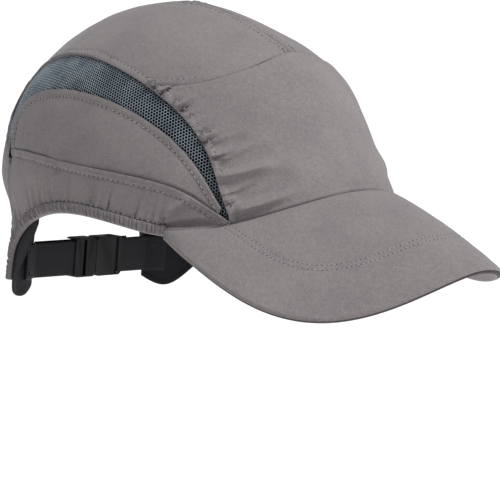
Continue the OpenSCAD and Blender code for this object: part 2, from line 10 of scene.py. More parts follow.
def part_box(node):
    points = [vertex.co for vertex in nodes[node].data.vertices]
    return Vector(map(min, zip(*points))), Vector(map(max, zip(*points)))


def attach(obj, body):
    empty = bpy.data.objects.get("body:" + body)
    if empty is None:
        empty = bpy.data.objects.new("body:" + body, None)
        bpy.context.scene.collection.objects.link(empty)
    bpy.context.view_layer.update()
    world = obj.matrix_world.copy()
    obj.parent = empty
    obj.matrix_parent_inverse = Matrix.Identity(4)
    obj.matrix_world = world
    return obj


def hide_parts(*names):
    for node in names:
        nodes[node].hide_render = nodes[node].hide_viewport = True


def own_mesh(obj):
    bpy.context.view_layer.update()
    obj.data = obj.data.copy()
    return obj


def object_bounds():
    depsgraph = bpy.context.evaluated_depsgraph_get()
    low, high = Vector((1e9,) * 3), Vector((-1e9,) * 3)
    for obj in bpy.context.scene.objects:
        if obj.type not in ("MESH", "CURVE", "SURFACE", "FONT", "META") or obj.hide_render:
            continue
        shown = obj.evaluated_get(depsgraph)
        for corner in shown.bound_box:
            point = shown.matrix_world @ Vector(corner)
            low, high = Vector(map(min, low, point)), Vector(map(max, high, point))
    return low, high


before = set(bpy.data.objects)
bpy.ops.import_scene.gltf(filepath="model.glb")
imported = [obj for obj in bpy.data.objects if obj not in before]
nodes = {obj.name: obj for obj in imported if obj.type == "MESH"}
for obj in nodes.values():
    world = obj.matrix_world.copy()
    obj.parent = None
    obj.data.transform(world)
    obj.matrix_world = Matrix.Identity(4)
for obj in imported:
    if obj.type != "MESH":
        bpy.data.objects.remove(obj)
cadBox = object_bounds()
mm = 0.001

# ---- camera
view = {
    "azimuth": 50.339,  # degrees from straight ahead, towards the wearer's right
    "elevation": 6.367,
    "roll": 4.008,
    "distance": 2.21427,
    "takesIn": 0.2541,  # width of the view at the cap
    "aimAcross": 0.02692,
    "aimDown": 0.01608,
}


def addCamera():
    az, el, roll = np.radians([view["azimuth"], view["elevation"], view["roll"]])
    back = Vector((-np.sin(az) * np.cos(el), -np.cos(az) * np.cos(el), np.sin(el)))
    level = Vector((np.cos(az), -np.sin(az), 0))
    upright = level.cross(-back)
    across = level * np.cos(roll) + upright * np.sin(roll)
    up = upright * np.cos(roll) - level * np.sin(roll)
    place = back * view["distance"]
    zAxis = (place - across * view["aimAcross"] + up * view["aimDown"]).normalized()
    xAxis = (across - zAxis * across.dot(zAxis)).normalized()
    turn = Matrix((xAxis, zAxis.cross(xAxis), zAxis)).transposed()
    data = bpy.data.cameras.new("camera")
    data.sensor_width = 36
    data.lens = 36 * view["distance"] / view["takesIn"]
    data.clip_end = 500
    cam = bpy.data.objects.new("camera", data)
    cam.matrix_world = Matrix.Translation(place) @ turn.to_4x4()
    bpy.context.scene.collection.objects.link(cam)
    bpy.context.scene.camera = cam
    return across, up, back


across, up, back = addCamera()
print("camera made")


def linear(code):
    # sRGB hex to linear: c / 12.92 below 0.04045, else ((c + 0.055) / 1.055) ** 2.4
    c = np.array([int(code[i:i + 2], 16) for i in (1, 3, 5)]) / 255
    c = np.where(c <= 0.04045, c / 12.92, ((c + 0.055) / 1.055) ** 2.4)
    return (*[float(x) for x in c], 1.0)


def addNode(tree, kind, values=None, links=None, **settings):
    node = tree.nodes.new(kind)
    for key, value in settings.items():
        setattr(node, key, value)
    for key, value in (values or {}).items():
        node.inputs[key].default_value = value
    for key, source in (links or {}).items():
        tree.links.new(source, node.inputs[key])
    return node


def newMaterial(name, color, roughness, **sockets):
    material = bpy.data.materials.new(name)
    material.use_nodes = True
    tree = material.node_tree
    shader = tree.nodes["Principled BSDF"]
    shader.inputs["Base Color"].default_value = linear(color)
    shader.inputs["Roughness"].default_value = roughness
    for key, value in sockets.items():
        shader.inputs[key.replace("_", " ")].default_value = value
    material.diffuse_color = linear(color)
    return material, tree, shader


# ---- fabrics and plastics. Object coordinates are metres; the pieces' own UV maps are millimetres.
def clothMaterial(name, color, light, dark, pitch, weave, fuzz, roughness=0.92):
    # Yarn-dyed plain weave, matt and faintly hairy: over and under is sin(pi u / p) * sin(pi v / p).
    # The yarn itself is 0.3 mm, so it is drawn at the pitch given, as coarse as it needs to show.
    material, tree, shader = newMaterial(name, color, roughness, Sheen_Weight=fuzz, Sheen_Roughness=0.5,
                                         Specular_IOR_Level=0.2)
    uv = addNode(tree, "ShaderNodeUVMap", uv_map="cut")
    split = addNode(tree, "ShaderNodeSeparateXYZ", links={0: uv.outputs[0]})
    waves = []
    for axis in (0, 1):
        turn = addNode(tree, "ShaderNodeMath", {1: np.pi / pitch}, {0: split.outputs[axis]},
                       operation="MULTIPLY")
        waves.append(addNode(tree, "ShaderNodeMath", links={0: turn.outputs[0]}, operation="SINE"))
    over = addNode(tree, "ShaderNodeMath", links={0: waves[0].outputs[0], 1: waves[1].outputs[0]},
                   operation="MULTIPLY")
    spot = {"Vector": addNode(tree, "ShaderNodeTexCoord").outputs["Object"]}
    # Uneven yarn, small patches and slow fading: size in millimetres, detail and roughness of each.
    slubs, patches, fading = (
        addNode(tree, "ShaderNodeTexNoise", {"Scale": 1 / (size * mm), "Detail": detail, "Roughness": rough},
                spot) for size, detail, rough in ((0.6, 2.0, 0.6), (2.4, 3.0, 0.55), (24, 2.0, 0.5)))
    both = addNode(tree, "ShaderNodeMath", {1: 0.45}, {0: patches.outputs[0], 2: slubs.outputs[0]},
                   operation="MULTIPLY_ADD")
    blend = addNode(tree, "ShaderNodeMath", {1: 0.35}, {0: fading.outputs[0], 2: both.outputs[0]},
                    operation="MULTIPLY_ADD")
    share = addNode(tree, "ShaderNodeMapRange", {1: 0.68, 2: 1.12, 3: 0.0, 4: 1.0}, {0: blend.outputs[0]})
    tone = addNode(tree, "ShaderNodeMix", {6: linear(dark), 7: linear(light)}, {0: share.outputs[0]},
                   data_type="RGBA")
    yarn = addNode(tree, "ShaderNodeMapRange", {1: -1.0, 2: 1.0, 3: 0.93, 4: 1.05}, {0: over.outputs[0]})
    shaded = addNode(tree, "ShaderNodeVectorMath", links={0: tone.outputs[2], 1: yarn.outputs[0]},
                     operation="MULTIPLY")
    tree.links.new(shaded.outputs[0], shader.inputs["Base Color"])
    height = addNode(tree, "ShaderNodeMath", {1: 0.5}, {0: over.outputs[0], 2: slubs.outputs[0]},
                     operation="MULTIPLY_ADD")
    bump = addNode(tree, "ShaderNodeBump", {"Strength": weave, "Distance": 0.12 * mm},
                   {"Height": height.outputs[0]})
    tree.links.new(bump.outputs[0], shader.inputs["Normal"])
    return material


def plasticMaterial(name, color, rough, grain, depth, scuff):
    # Moulded plastic: a fine spark-eroded grain in the gloss, and slow patches where it is handled.
    material, tree, shader = newMaterial(name, color, rough, IOR=1.48, Specular_IOR_Level=0.25)
    spot = {"Vector": addNode(tree, "ShaderNodeTexCoord").outputs["Object"]}
    fine = addNode(tree, "ShaderNodeTexNoise", {"Scale": 1 / (grain * mm), "Detail": 3.0}, spot)
    slow = addNode(tree, "ShaderNodeTexNoise", {"Scale": 1 / (9 * mm), "Detail": 4.0}, spot)
    gloss = addNode(tree, "ShaderNodeMapRange", {1: 0.3, 2: 0.7, 3: rough - scuff, 4: rough + scuff},
                    {0: slow.outputs[0]})
    tree.links.new(gloss.outputs[0], shader.inputs["Roughness"])
    bump = addNode(tree, "ShaderNodeBump", {"Strength": 0.5, "Distance": depth * mm},
                   {"Height": fine.outputs[0]})
    tree.links.new(bump.outputs[0], shader.inputs["Normal"])
    return material


polycotton = clothMaterial("polycottonPlainWeave", "#7d7779", "#8a8483", "#746e71", 0.62, 0.5, 0.18)
polycottonHem = clothMaterial("polycottonFoldedHem", "#777173", "#807a7b", "#6c6769", 0.62, 0.5, 0.18)
# The visor rim's cloth is darker than the panels: painted shade, the dark line under the rolled edge.
rimClothPaintedShade = clothMaterial("visorRimClothPaintedShade", "#453d3f", "#4d4547", "#3a3335", 0.62, 0.5, 0.12)
blackLining = clothMaterial("blackTaffetaLining", "#131219", "#18171e", "#0f0e14", 0.5, 0.35, 0.04, 0.7)
# A black sheet behind the mesh holes: painted shade of the cap's inside seen through them.
netBackingPaintedShade = clothMaterial("blackSheetPaintedShade", "#0c0b0f", "#100f13", "#09090b", 0.5, 0.35, 0.0, 0.95)
webbing = clothMaterial("polypropyleneWebbing", "#19181e", "#1e1d24", "#151419", 1.0, 0.9, 0.03, 0.62)
terry = clothMaterial("blackTerryLoop", "#1f1e22", "#29282d", "#161519", 1.3, 1.0, 0.3, 0.98)
thread = clothMaterial("polyesterThread", "#a09b9c", "#aca7a8", "#918c8d", 0.4, 0.3, 0.15, 0.6)
# Black thread: the strap's own stitching, and also the painted shade of the needle holes between the grey
# stitches.
darkThreadAndHoleShade = clothMaterial("blackThreadAndPaintedHoleShade", "#26252a", "#2f2e34", "#1c1b20", 0.4, 0.3, 0.1, 0.55)
clipPlastic = plasticMaterial("satinAcetal", "#0f0e13", 0.5, 0.35, 0.02, 0.05)
shellPlastic = plasticMaterial("matteHdpe", "#17171a", 0.55, 0.5, 0.03, 0.06)
boardPlastic = plasticMaterial("polyethyleneBoard", "#cfcab9", 0.5, 0.6, 0.03, 0.05)


def netMaterial():
    # Warp-knit polyester: smooth light yarns with a slight shine. Painted shade darkens it between the loops
    # and painted highlight lightens their tops, on the bump's noise, with slow patches of tone.
    material, tree, shader = newMaterial("warpKnitMesh", "#7b8890", 0.6, Sheen_Weight=0.15)
    spot = {"Vector": addNode(tree, "ShaderNodeTexCoord").outputs["Object"]}
    loops, patches = (addNode(tree, "ShaderNodeTexNoise", {"Scale": 1 / (size * mm)}, spot)
                      for size in (0.6, 11))
    both = addNode(tree, "ShaderNodeMath", {1: 0.8}, {0: patches.outputs[0], 2: loops.outputs[0]},
                   operation="MULTIPLY_ADD")
    # Painted light and shade: the tone follows the loops' bump noise, lighter on top and darker between, plus
    # slow patches.
    share = addNode(tree, "ShaderNodeMapRange", {1: 0.65, 2: 1.15, 3: 0.0, 4: 1.0}, {0: both.outputs[0]})
    tone = addNode(tree, "ShaderNodeMix", {6: linear("#6a7883"), 7: linear("#9facb5")},
                   {0: share.outputs[0]}, data_type="RGBA")
    tree.links.new(tone.outputs[2], shader.inputs["Base Color"])
    bump = addNode(tree, "ShaderNodeBump", {"Strength": 0.5, "Distance": 0.08 * mm},
                   {"Height": loops.outputs[0]})
    tree.links.new(bump.outputs[0], shader.inputs["Normal"])
    return material


def foamMaterial():
    # Closed-cell EVA: a matt skin with fine cells, painted lighter in their middles and darker at their
    # walls: painted highlight and shade where the cells catch the light.
    material, tree, shader = newMaterial("closedCellEva", "#2b2b2f", 0.82)
    place = addNode(tree, "ShaderNodeTexCoord")
    cells = addNode(tree, "ShaderNodeTexVoronoi", {"Scale": 1 / (0.9 * mm)},
                    {"Vector": place.outputs["Object"]})
    share = addNode(tree, "ShaderNodeMapRange", {1: 0.0, 2: 0.8, 3: 0.0, 4: 1.0},
                    {0: cells.outputs["Distance"]})
    # Painted highlight in the cells' middles and painted shade at their walls.
    tone = addNode(tree, "ShaderNodeMix", {6: linear("#323236"), 7: linear("#232327")},
                   {0: share.outputs[0]}, data_type="RGBA")
    tree.links.new(tone.outputs[2], shader.inputs["Base Color"])
    bump = addNode(tree, "ShaderNodeBump", {"Strength": 0.4, "Distance": 0.15 * mm},
                   {"Height": cells.outputs["Distance"]})
    tree.links.new(bump.outputs[0], shader.inputs["Normal"])
    return material


meshYarn = netMaterial()
padFoam = foamMaterial()
print("materials made")


# ---- meshes from grids
def makePiece(name, points, faces, material, uv=None, *, slot, node=None, sharp=50):
    # faces is a list of index arrays, each with one row per face. The whole is turned outwards
    # by its signed volume, the sum of a . (b x c) / 6 over its triangles. node is what it stands for.
    points = np.asarray(points, float)
    volume = 0.0
    for f in faces:
        a, b, c = (points[f[:, i]] for i in (0, 1, 2))
        volume += (a * np.cross(b, c)).sum()
        if f.shape[1] == 4:
            volume += (a * np.cross(c, points[f[:, 3]])).sum()
    if volume < 0:
        faces = [f[:, ::-1] for f in faces]
    data = bpy.data.meshes.new(name)
    loops = np.concatenate([f.ravel() for f in faces]).astype(np.int32)
    sizes = np.concatenate([np.full(len(f), f.shape[1]) for f in faces]).astype(np.int32)
    data.vertices.add(len(points))
    data.vertices.foreach_set("co", (points * mm).astype(np.float32).ravel())
    data.loops.add(len(loops))
    data.loops.foreach_set("vertex_index", loops)
    data.polygons.add(len(sizes))
    data.polygons.foreach_set("loop_start", np.concatenate([[0], np.cumsum(sizes)[:-1]]).astype(np.int32))
    if uv is None:
        uv = points[:, [0, 2]]
    layer = data.uv_layers.new(name="cut")
    layer.data.foreach_set("uv", np.asarray(uv, np.float32)[loops].ravel())
    data.update(calc_edges=True)
    data.validate()
    data.polygons.foreach_set("use_smooth", np.ones(len(data.polygons), bool))
    data.set_sharp_from_angle(angle=np.radians(sharp))
    data.materials.append(material)
    piece = bpy.data.objects.new(name, data)
    bpy.context.scene.collection.objects.link(piece)
    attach(piece, "cap")
    if node:
        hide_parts(node)
    return piece


def gridFaces(n, m, wrap):
    # Quads of an n by m grid of points, with its first row joined to its last if it wraps.
    i, j = np.meshgrid(np.arange(n if wrap else n - 1), np.arange(m - 1), indexing="ij")
    i, j = i.ravel(), j.ravel()
    k = (i + 1) % n
    return np.stack([i * m + j, k * m + j, k * m + j + 1, i * m + j + 1], 1)


def borderWalls(n, m, wrap):
    # Quads that close the four borders between an outer grid and an inner one.
    i, j = np.arange(n if wrap else n - 1), np.arange(m - 1)
    k, far = (i + 1) % n, n * m
    walls = [np.stack([k * m, i * m, far + i * m, far + k * m], 1),
             np.stack([i * m + m - 1, k * m + m - 1, far + k * m + m - 1, far + i * m + m - 1], 1)]
    if not wrap:
        last = (n - 1) * m
        walls += [np.stack([j, j + 1, far + j + 1, far + j], 1),
                  np.stack([last + j + 1, last + j, far + last + j, far + last + j + 1], 1)]
    return walls


def lengths(grid, axis):
    # Distance run along one way of a grid, from its start.
    step = np.linalg.norm(np.diff(grid, axis=axis), axis=-1)
    zero = np.zeros_like(np.take(step, [0], axis=axis))
    return np.concatenate([zero, np.cumsum(step, axis=axis)], axis=axis)


def cutMap(grid):
    # UV in millimetres: the distance run along each way of the grid, measured from its middle.
    u, v = lengths(grid, 0), lengths(grid, 1)
    return np.stack([u - u[len(u) // 2], v - v[:, [v.shape[1] // 2]]], -1)


def shellPiece(name, outer, inner, material, wrap=False, **more):
    # A wall between two grids of points, closed all round.
    n, m = outer.shape[:2]
    faces = [gridFaces(n, m, wrap), gridFaces(n, m, wrap)[:, ::-1] + n * m, *borderWalls(n, m, wrap)]
    uv = cutMap(outer).reshape(-1, 2)
    return makePiece(name, np.concatenate([outer.reshape(-1, 3), inner.reshape(-1, 3)]), faces, material,
                     np.concatenate([uv, uv]), **more)


def tubePiece(name, rings, material, uv=None, **more):
    # A tube through rings of points, one row of the grid each, with a flat face over each end.
    n, m = rings.shape[:2]
    i = np.arange(m)[None]
    faces = [gridFaces(m, n, True), i * n, i[:, ::-1] * n + n - 1]
    points, uv = (None if a is None else a.transpose(1, 0, 2).reshape(m * n, -1) for a in (rings, uv))
    return makePiece(name, points, faces, material, uv, **more)


# ---- crown surface: th is degrees from the front, v degrees up the crown, or millimetres down below it
crown = {
    "halfWidth": 87.7,
    "frontLen": 110.9,
    "rearLen": 108.9,
    "height": 109.3,
    "lean": 11.4,
    "rise": 0.85,  # power of the sine it rises as
    "closing": 1.22,  # power of the cosine it closes in as, then its change at the front and rear
    "closingFront": 0.03,
    "closingRear": -0.1,
    "brow": (3.4, 44, 12.5),  # height, place and width of the forehead break
    "flat": (3.7, 24, 10.3),  # the same for the flattened face below it
    "tailPinch": 20,
    "tailDrop": 37,
    "fabric": 1.2,
    "brimHeight": 26.5,
    "brimSpan": 67,
    "brimPower": 1.45,
}


def smooth(t):
    u = np.clip(t, 0, 1)
    return u * u * (3 - 2 * u)


def bell(a, middle, wide):
    return np.exp(-(((a - middle) / wide) ** 2))


def sind(a):
    return np.sin(np.radians(a))


def cosd(a):
    return np.cos(np.radians(a))


def rise(v):
    return np.where(v < 0, v, crown["height"] * sind(np.clip(v, 0, 90)) ** crown["rise"])


def place(z):
    up = np.degrees(np.arcsin(np.clip(z / crown["height"], 0, 1) ** (1 / crown["rise"])))
    return np.where(z < 0, z, up)


def skin(th, v, d=0.0):
    # An oval of half width and length that closes in as cos(v) ** e and rises as sin(v) ** rise, with the
    # brow pushed out, the face below it drawn flat, and the tails pulled in by the strap, fully from 150
    # degrees round and 13 mm down.
    c, ps = cosd(th), np.clip(v, 0, 90)
    cf, cr = np.maximum(0, c), np.maximum(0, -c)
    e = crown["closing"] + crown["closingFront"] * cf ** 2 + crown["closingRear"] * cr ** 2
    f, g = np.maximum(cosd(ps), 0) ** e, sind(ps) ** crown["rise"]
    w = crown["brow"][0] * bell(ps, *crown["brow"][1:]) - crown["flat"][0] * bell(ps, *crown["flat"][1:])
    w = w * cf ** 1.5
    z = (crown["height"] - d) * g + np.minimum(0, v)
    pull = crown["tailPinch"] * smooth((np.abs(th) - 120) / 30) * smooth((15 - z) / 28)
    length = np.where(c > 0, crown["frontLen"], crown["rearLen"]) - d
    return np.stack([(crown["halfWidth"] - d) * f * sind(th) + w * sind(th) * cosd(ps),
                     -length * f * c + crown["lean"] * g - w * c * cosd(ps) - pull, z + w * sind(ps)], -1)


def unit(a):
    return a / np.linalg.norm(a, axis=-1, keepdims=True)


def outward(th, v):
    # Unit normal from the cross product of two small steps on the surface.
    a = skin(th + 0.2, v) - skin(th - 0.2, v)
    b = skin(th, v + 0.2) - skin(th, v - 0.2)
    return unit(np.cross(a, b))


def toFlat(p):
    # Flat map of the crown: the top at the middle, the foot a circle of radius 1.
    r = (90 - p[..., 1]) / 90
    return np.stack([r * sind(p[..., 0]), -r * cosd(p[..., 0])], -1)


def fromFlat(q):
    return np.stack([np.degrees(np.arctan2(q[..., 0], -q[..., 1])),
                     90 - 90 * np.linalg.norm(q, axis=-1)], -1)


def angles(net, side=1):
    # th and v of a net on the flat map, with side -1 for the wearer's right.
    ang = fromFlat(net)
    return ang[..., 0] * side, ang[..., 1]


def crownPiece(name, th, v, outer, inner, material, **more):
    # A wall between two depths below the crown surface.
    return shellPiece(name, skin(th, v, outer), skin(th, v, inner), material, **more)


def gapTo(points, path):
    # Distance from each point to the nearest point of a path.
    return np.sqrt(((points[:, None] - path[None]) ** 2).sum(-1).min(1))


def bezier(points, t):
    # Weighted middles of neighbouring points, taken until one is left.
    p, t = np.array(points, float)[:, None, :], np.asarray(t, float)[None, :, None]
    while len(p) > 1:
        p = p[:-1] * (1 - t) + p[1:] * t
    return p[0]


def resample(line, count):
    # The same line with its points an equal distance apart on the crown.
    run = lengths(skin(line[:, 0], line[:, 1]), 0)
    t = np.linspace(0, run[-1], count)
    return np.stack([np.interp(t, run, line[:, k]) for k in (0, 1)], -1)


# ---- seam lines, each a list of (th, v)
meshTopLine = [[47, 4.5], [57.5, 20], [37.5, 38.5], [110.5, 42],
               [91.5, 63], [189, 44], [150, 12], [128, 10.2]]
meshLowLine = [[47, 4], [59.5, 12], [49.5, 31.5], [103.5, 25],
               [60, 42.5], [169, 33], [128.5, 20.5], [126.5, 9]]
earEdgeLine = [[65, 0], [88, 0], [108.5, 30], [127.5, -33.5], [120.5, -16], [125, -36]]
rearEdgeLine = [[127.2, 8], [127, -8], [131, -37]]
cornerShare = 8 / 24  # how far along the mesh's top edge the brow seam meets it
ridgeShare = 23 / 24  # how far along its low edge the ridge meets it
hemWidth = 5
archHalf, archFoot, archRise = 43.5, -25, 43
degreeRun = 1.6  # millimetres to a degree of th at the ears
lineCount = 240  # points in a seam line

fine = np.linspace(0, 1, lineCount)
cornerIndex, ridgeIndex = int(lineCount * cornerShare), int(lineCount * ridgeShare)


def brim(th):
    return place(crown["brimHeight"] * np.maximum(0, cosd(th * 90 / crown["brimSpan"])) ** crown["brimPower"])


def brimRun(a, b):
    th = np.linspace(a, b, lineCount)
    return np.stack([th, brim(th)], -1)


meshTop = bezier(meshTopLine, fine)
meshLow = bezier(meshLowLine, fine)
cornerPoint = bezier(meshTopLine, [cornerShare])[0]
topSeam = bezier([[0, 51.5], [26, 50.5], [44, 38], cornerPoint], fine)
ridge = bezier([[47, 3.5], [68.5, 11.5], [53, 12], [114, 11], [101.5, 14],
                bezier(meshLowLine, [ridgeShare])[0]], fine)
rearSeam = bezier(rearEdgeLine, fine)


def earLine(inwards):
    # The ear cut-out's edge moved inwards.
    p = bezier(earEdgeLine, fine)
    step = bezier(earEdgeLine, np.minimum(1, fine + 0.01)) - bezier(earEdgeLine, np.maximum(0, fine - 0.01))
    tx, tz = step[:, 0] * degreeRun, step[:, 1]
    q = np.hypot(tx, tz)
    return np.stack([p[:, 0] - inwards * tz / q / degreeRun, place(p[:, 1] + inwards * tx / q)], -1)


def archLine(grow):
    # Rear opening from the tail's foot up to the middle: a straight leg, then a quarter of an ellipse.
    t = np.linspace(0, 90, 160)
    leg = np.linspace(-crown["tailDrop"], archFoot, 20)[:-1]
    x = np.concatenate([np.full(len(leg), archHalf + grow), (archHalf + grow) * cosd(t)])
    v = place(np.concatenate([leg, archFoot + (archRise + grow) * sind(t)]))
    width = crown["halfWidth"] * cosd(np.maximum(0, v)) ** 1.12
    return np.stack([180 - np.degrees(np.arcsin(np.minimum(0.999, x / width))), v], -1)


def netBetween(low, high, start, end):
    # Coons patch on the flat map: the two pairs of borders averaged, less the corners' own blend.
    b, t, l, r = (toFlat(a) for a in (low, high, start, end))
    s = np.linspace(0, 1, len(b))[:, None, None]
    u = np.linspace(0, 1, len(l))[None, :, None]
    b, t, l, r = b[:, None], t[:, None], l[None], r[None]
    return (b * (1 - u) + t * u + l * (1 - s) + r * s - b[:1] * (1 - s) * (1 - u) - b[-1:] * s * (1 - u)
            - t[:1] * (1 - s) * u - t[-1:] * s * u)


def stripBetween(low, high, rows):
    u = np.linspace(0, 1, rows)[None, :, None]
    return toFlat(low)[:, None] * (1 - u) + toFlat(high)[:, None] * u


def drawIn(grid, gaps):
    # Moves the low, high, first and last borders of a net in by a gap each, along its own rows and
    # columns, or out where the gap is below 0 and the cloth laps over or under its neighbour.
    p = skin(*np.moveaxis(fromFlat(grid), -1, 0))
    out = grid.copy()
    low, high, first, last = gaps
    for axis, edge, near, gap in ((0, 0, 1, first), (0, -1, -2, last), (1, 0, 1, low), (1, -1, -2, high)):
        real, old, moved = (np.moveaxis(a, axis, 0) for a in (p, grid, out))
        far = np.linalg.norm(real[near] - real[edge], axis=-1, keepdims=True)
        moved[edge] += (old[near] - old[edge]) * np.clip(gap / np.maximum(far, 0.2), -1.5, 0.9)
    return out


# ---- how the cloth lies: seams, gathers and folds
def noiseAlong(s, wave, seed):
    # Four sines of unlike wavelengths, with seeded phases.
    rng = np.random.default_rng(seed)
    phases = rng.uniform(0, 6.28, 4)
    shares = wave * np.array([1.0, 0.62, 1.7, 0.41])
    return sum(np.sin(2 * np.pi * s / w + p) for w, p in zip(shares, phases)) / 2.4


def noiseAt(p, wave, seed):
    # Plane waves in random directions, about one wavelength long each.
    rng = np.random.default_rng(seed)
    count = 9
    turn = unit(rng.normal(size=(count, 3)))
    size = 2 * np.pi / (wave * rng.uniform(0.7, 1.5, count))
    phase = rng.uniform(0, 6.28, count)
    return np.sin((p @ turn.T) * size + phase).sum(-1) / np.sqrt(count)


def nearest(p, line):
    # Distance from each point to a line on the crown, and how far along the line that is.
    path = skin(line[:, 0], line[:, 1])
    run = lengths(path, 0)
    flatPoints = p.reshape(-1, 3)
    gap, along = np.empty(len(flatPoints)), np.empty(len(flatPoints))
    for first in range(0, len(flatPoints), 4000):
        part = flatPoints[first:first + 4000]
        d2 = (part ** 2).sum(1)[:, None] + (path ** 2).sum(1)[None] - 2 * part @ path.T
        k = d2.argmin(1)
        gap[first:first + 4000] = np.sqrt(np.maximum(0, d2[np.arange(len(part)), k]))
        along[first:first + 4000] = run[k]
    return gap.reshape(p.shape[:-1]), along.reshape(p.shape[:-1])


def seamHeight(gap, along, kind, stitchAt, gather, pitch, reach, seed):
    # An "over" edge is folded and stands on its neighbour, an "under" edge sinks to pass below it, and a
    # "plain" one rolls into the groove of the seam. The cloth stands up over the turned allowance and
    # dips along the stitching. Gathers are narrow creases about a pitch apart that die away from the seam.
    if kind == "over":
        edge = 0.55 * (1 - smooth((gap - 2.2) / 2.0)) + 0.3 * bell(gap, 0.7, 0.5)
        edge = edge - 0.3 * np.exp(-(gap / 0.25) ** 2)
    elif kind == "under":
        edge = -0.75 * (1 - smooth((gap - 0.4) / 1.6))
    else:
        edge = -0.8 * np.exp(-(gap / 0.6) ** 2) + 0.25 * bell(gap, 1.8, 1.1)
    if stitchAt:
        edge = edge - 0.4 * bell(gap, stitchAt, 0.6)
    warp = along + 0.35 * pitch * noiseAlong(along, 3.1 * pitch, seed)
    aside = np.abs(warp / pitch - np.round(warp / pitch)) * pitch
    crease = np.exp(-(aside / (0.85 + 0.05 * gap)) ** 2)
    strength = np.clip(0.6 + 0.7 * noiseAlong(along, 5.3 * pitch, seed + 1), 0.1, 1.3)
    lobes = gather * (0.35 - crease) * strength * smooth(gap / 1.0) * np.exp(-(gap / reach) ** 2)
    return edge + lobes


def foldHeight(p, folds):
    total = np.zeros(p.shape[:-1])
    for points, wide, high in folds:
        line = bezier(points, np.linspace(0, 1, 120))
        gap, along = nearest(p, line)
        share = along / lengths(skin(line[:, 0], line[:, 1]), 0)[-1]
        form = np.exp(-(gap / (wide * (0.6 + 0.8 * share))) ** 2)
        total += high * form * smooth(share * 6) * smooth((1 - share) * 2.2)
    return total


def clothHeight(th, v, seams, folds, seed, side):
    # Height over the plain surface, in millimetres, from the panel's own list of seams and folds.
    p = skin(th, v)
    total = 0.28 * noiseAt(p, 34, seed) + 0.1 * noiseAt(p, 13, seed + 1)
    for line, kind, stitchAt, gather, pitch, reach in seams:
        gap, along = nearest(p, line * [side, 1])
        total = total + seamHeight(gap, along, kind, stitchAt, gather, pitch, reach, seed + len(line))
    total = total + foldHeight(p, [([[a * side, b] for a, b in points], w, h) for points, w, h in folds])
    # A hollow stops short of the sweatband and shell: -d tanh(h / d), with d the room left inside.
    room = 1.85
    return np.where(total < 0, room * np.tanh(total / room), total)


def panelPiece(name, node, net, gaps, seams, folds, seed, side=1):
    th, v = angles(drawIn(net, gaps), side)
    high = clothHeight(th, v, seams, folds, seed, side)
    piece = crownPiece(name, th, v, -high, np.maximum(crown["fabric"], 0.35 - high), polycotton,
                       slot="grey_fabric", node=node)


def joined(*lines):
    return np.concatenate([lines[0], *[a[1:] for a in lines[1:]]])


def mirrored(line):
    return (line * [-1, 1])[::-1]


# Seam, how the edge lies, distance of its topstitching, then height, pitch and reach of its gathers.
frontSide = meshTop[:cornerIndex + 1]
crownSide = meshTop[cornerIndex:]
archEdge = archLine(hemWidth)
backTop = float(place(archFoot + archRise + hemWidth))
middleFront = np.stack([np.zeros(200), np.linspace(51.5, 90, 200)], -1)
middleBack = np.stack([np.full(200, 180.0), np.linspace(90, backTop, 200)], -1)
frontSeams = [
    (frontSide, "over", 3.2, 2.4, 5.2, 6.0),
    (frontSide * [-1, 1], "over", 3.2, 4.6, 5.0, 6.5),
    (topSeam, "plain", 0, 0.2, 7, 6),
    (topSeam * [-1, 1], "plain", 0, 0.2, 7, 6),
    (brimRun(-47, 47), "plain", 0, 0.2, 9, 8),
]
frontFolds = [
    ([[-51, 15.4], [-46.2, 17], [-39.8, 19.2], [-31, 22.5]], 3.0, -4.2),
    ([[-51.5, 12.6], [-45, 14.0], [-38, 16.0], [-30, 19.0]], 2.5, 4.0),
    ([[-46.6, 8.2], [-40.2, 10.2], [-34.5, 12.5], [-25, 16]], 3.6, -5.0),
    ([[-47, 5.4], [-40, 7.0], [-34, 9.0], [-26, 12.0]], 2.7, 4.2),
    ([[-52.5, 21], [-49, 21.6], [-44, 23.0], [-38, 25]], 2.4, -2.6),
    ([[52, 16], [45, 18], [38, 20], [28, 24]], 5.0, -1.4),
    ([[47.5, 8], [41, 10.5], [34, 12.6], [24, 16]], 5.5, -1.4),
]
crownSeams = [
    (crownSide, "over", 3.2, 0.6, 6.2, 6),
    (topSeam, "plain", 3.6, 0.2, 7, 6),
    (middleFront, "plain", 3.9, 0.15, 7, 5),
    (middleBack, "plain", 3.9, 0.15, 7, 5),
    (rearSeam, "plain", 0, 0.25, 6, 8),
    (archEdge, "under", 0, 0.6, 4.5, 9),
]


def makeFront():
    side = resample(joined(np.array([[47, float(brim(47))]]), frontSide), 180)
    half = resample(topSeam, 84)
    high = joined(mirrored(half), half)
    low = resample(brimRun(-47, 47), len(high))
    panelPiece("frontPanel", "front_panel", netBetween(low, high, side * [-1, 1], side),
               (-0.2, 0.05, -0.5, -0.5), frontSeams, frontFolds, 11)


def makeCrown(side, label):
    arch = archEdge[::-1]
    low = joined(resample(crownSide, 90), resample(joined(crownSide[-1:], rearSeam), 56))
    front, back = toFlat(np.array([[0, 51.5], [180.0, backTop]]))
    middle = front + (back - front) * np.linspace(0, 1, 90)[:, None]
    high = joined(fromFlat(middle), resample(arch, 56))
    start = resample(topSeam[::-1], 80)
    tail = toFlat(low[-1])
    foot = fromFlat(tail + (toFlat(high[-1]) - tail) * np.linspace(0, 1, 80)[:, None])
    net = netBetween(low, high, start, foot)
    panelPiece(f"crownPanel{label}", f"crown_panel_{label.lower()}", net,
               (-0.5, 0.05, 0.05, 0.3), crownSeams, [], 23 + side, side)


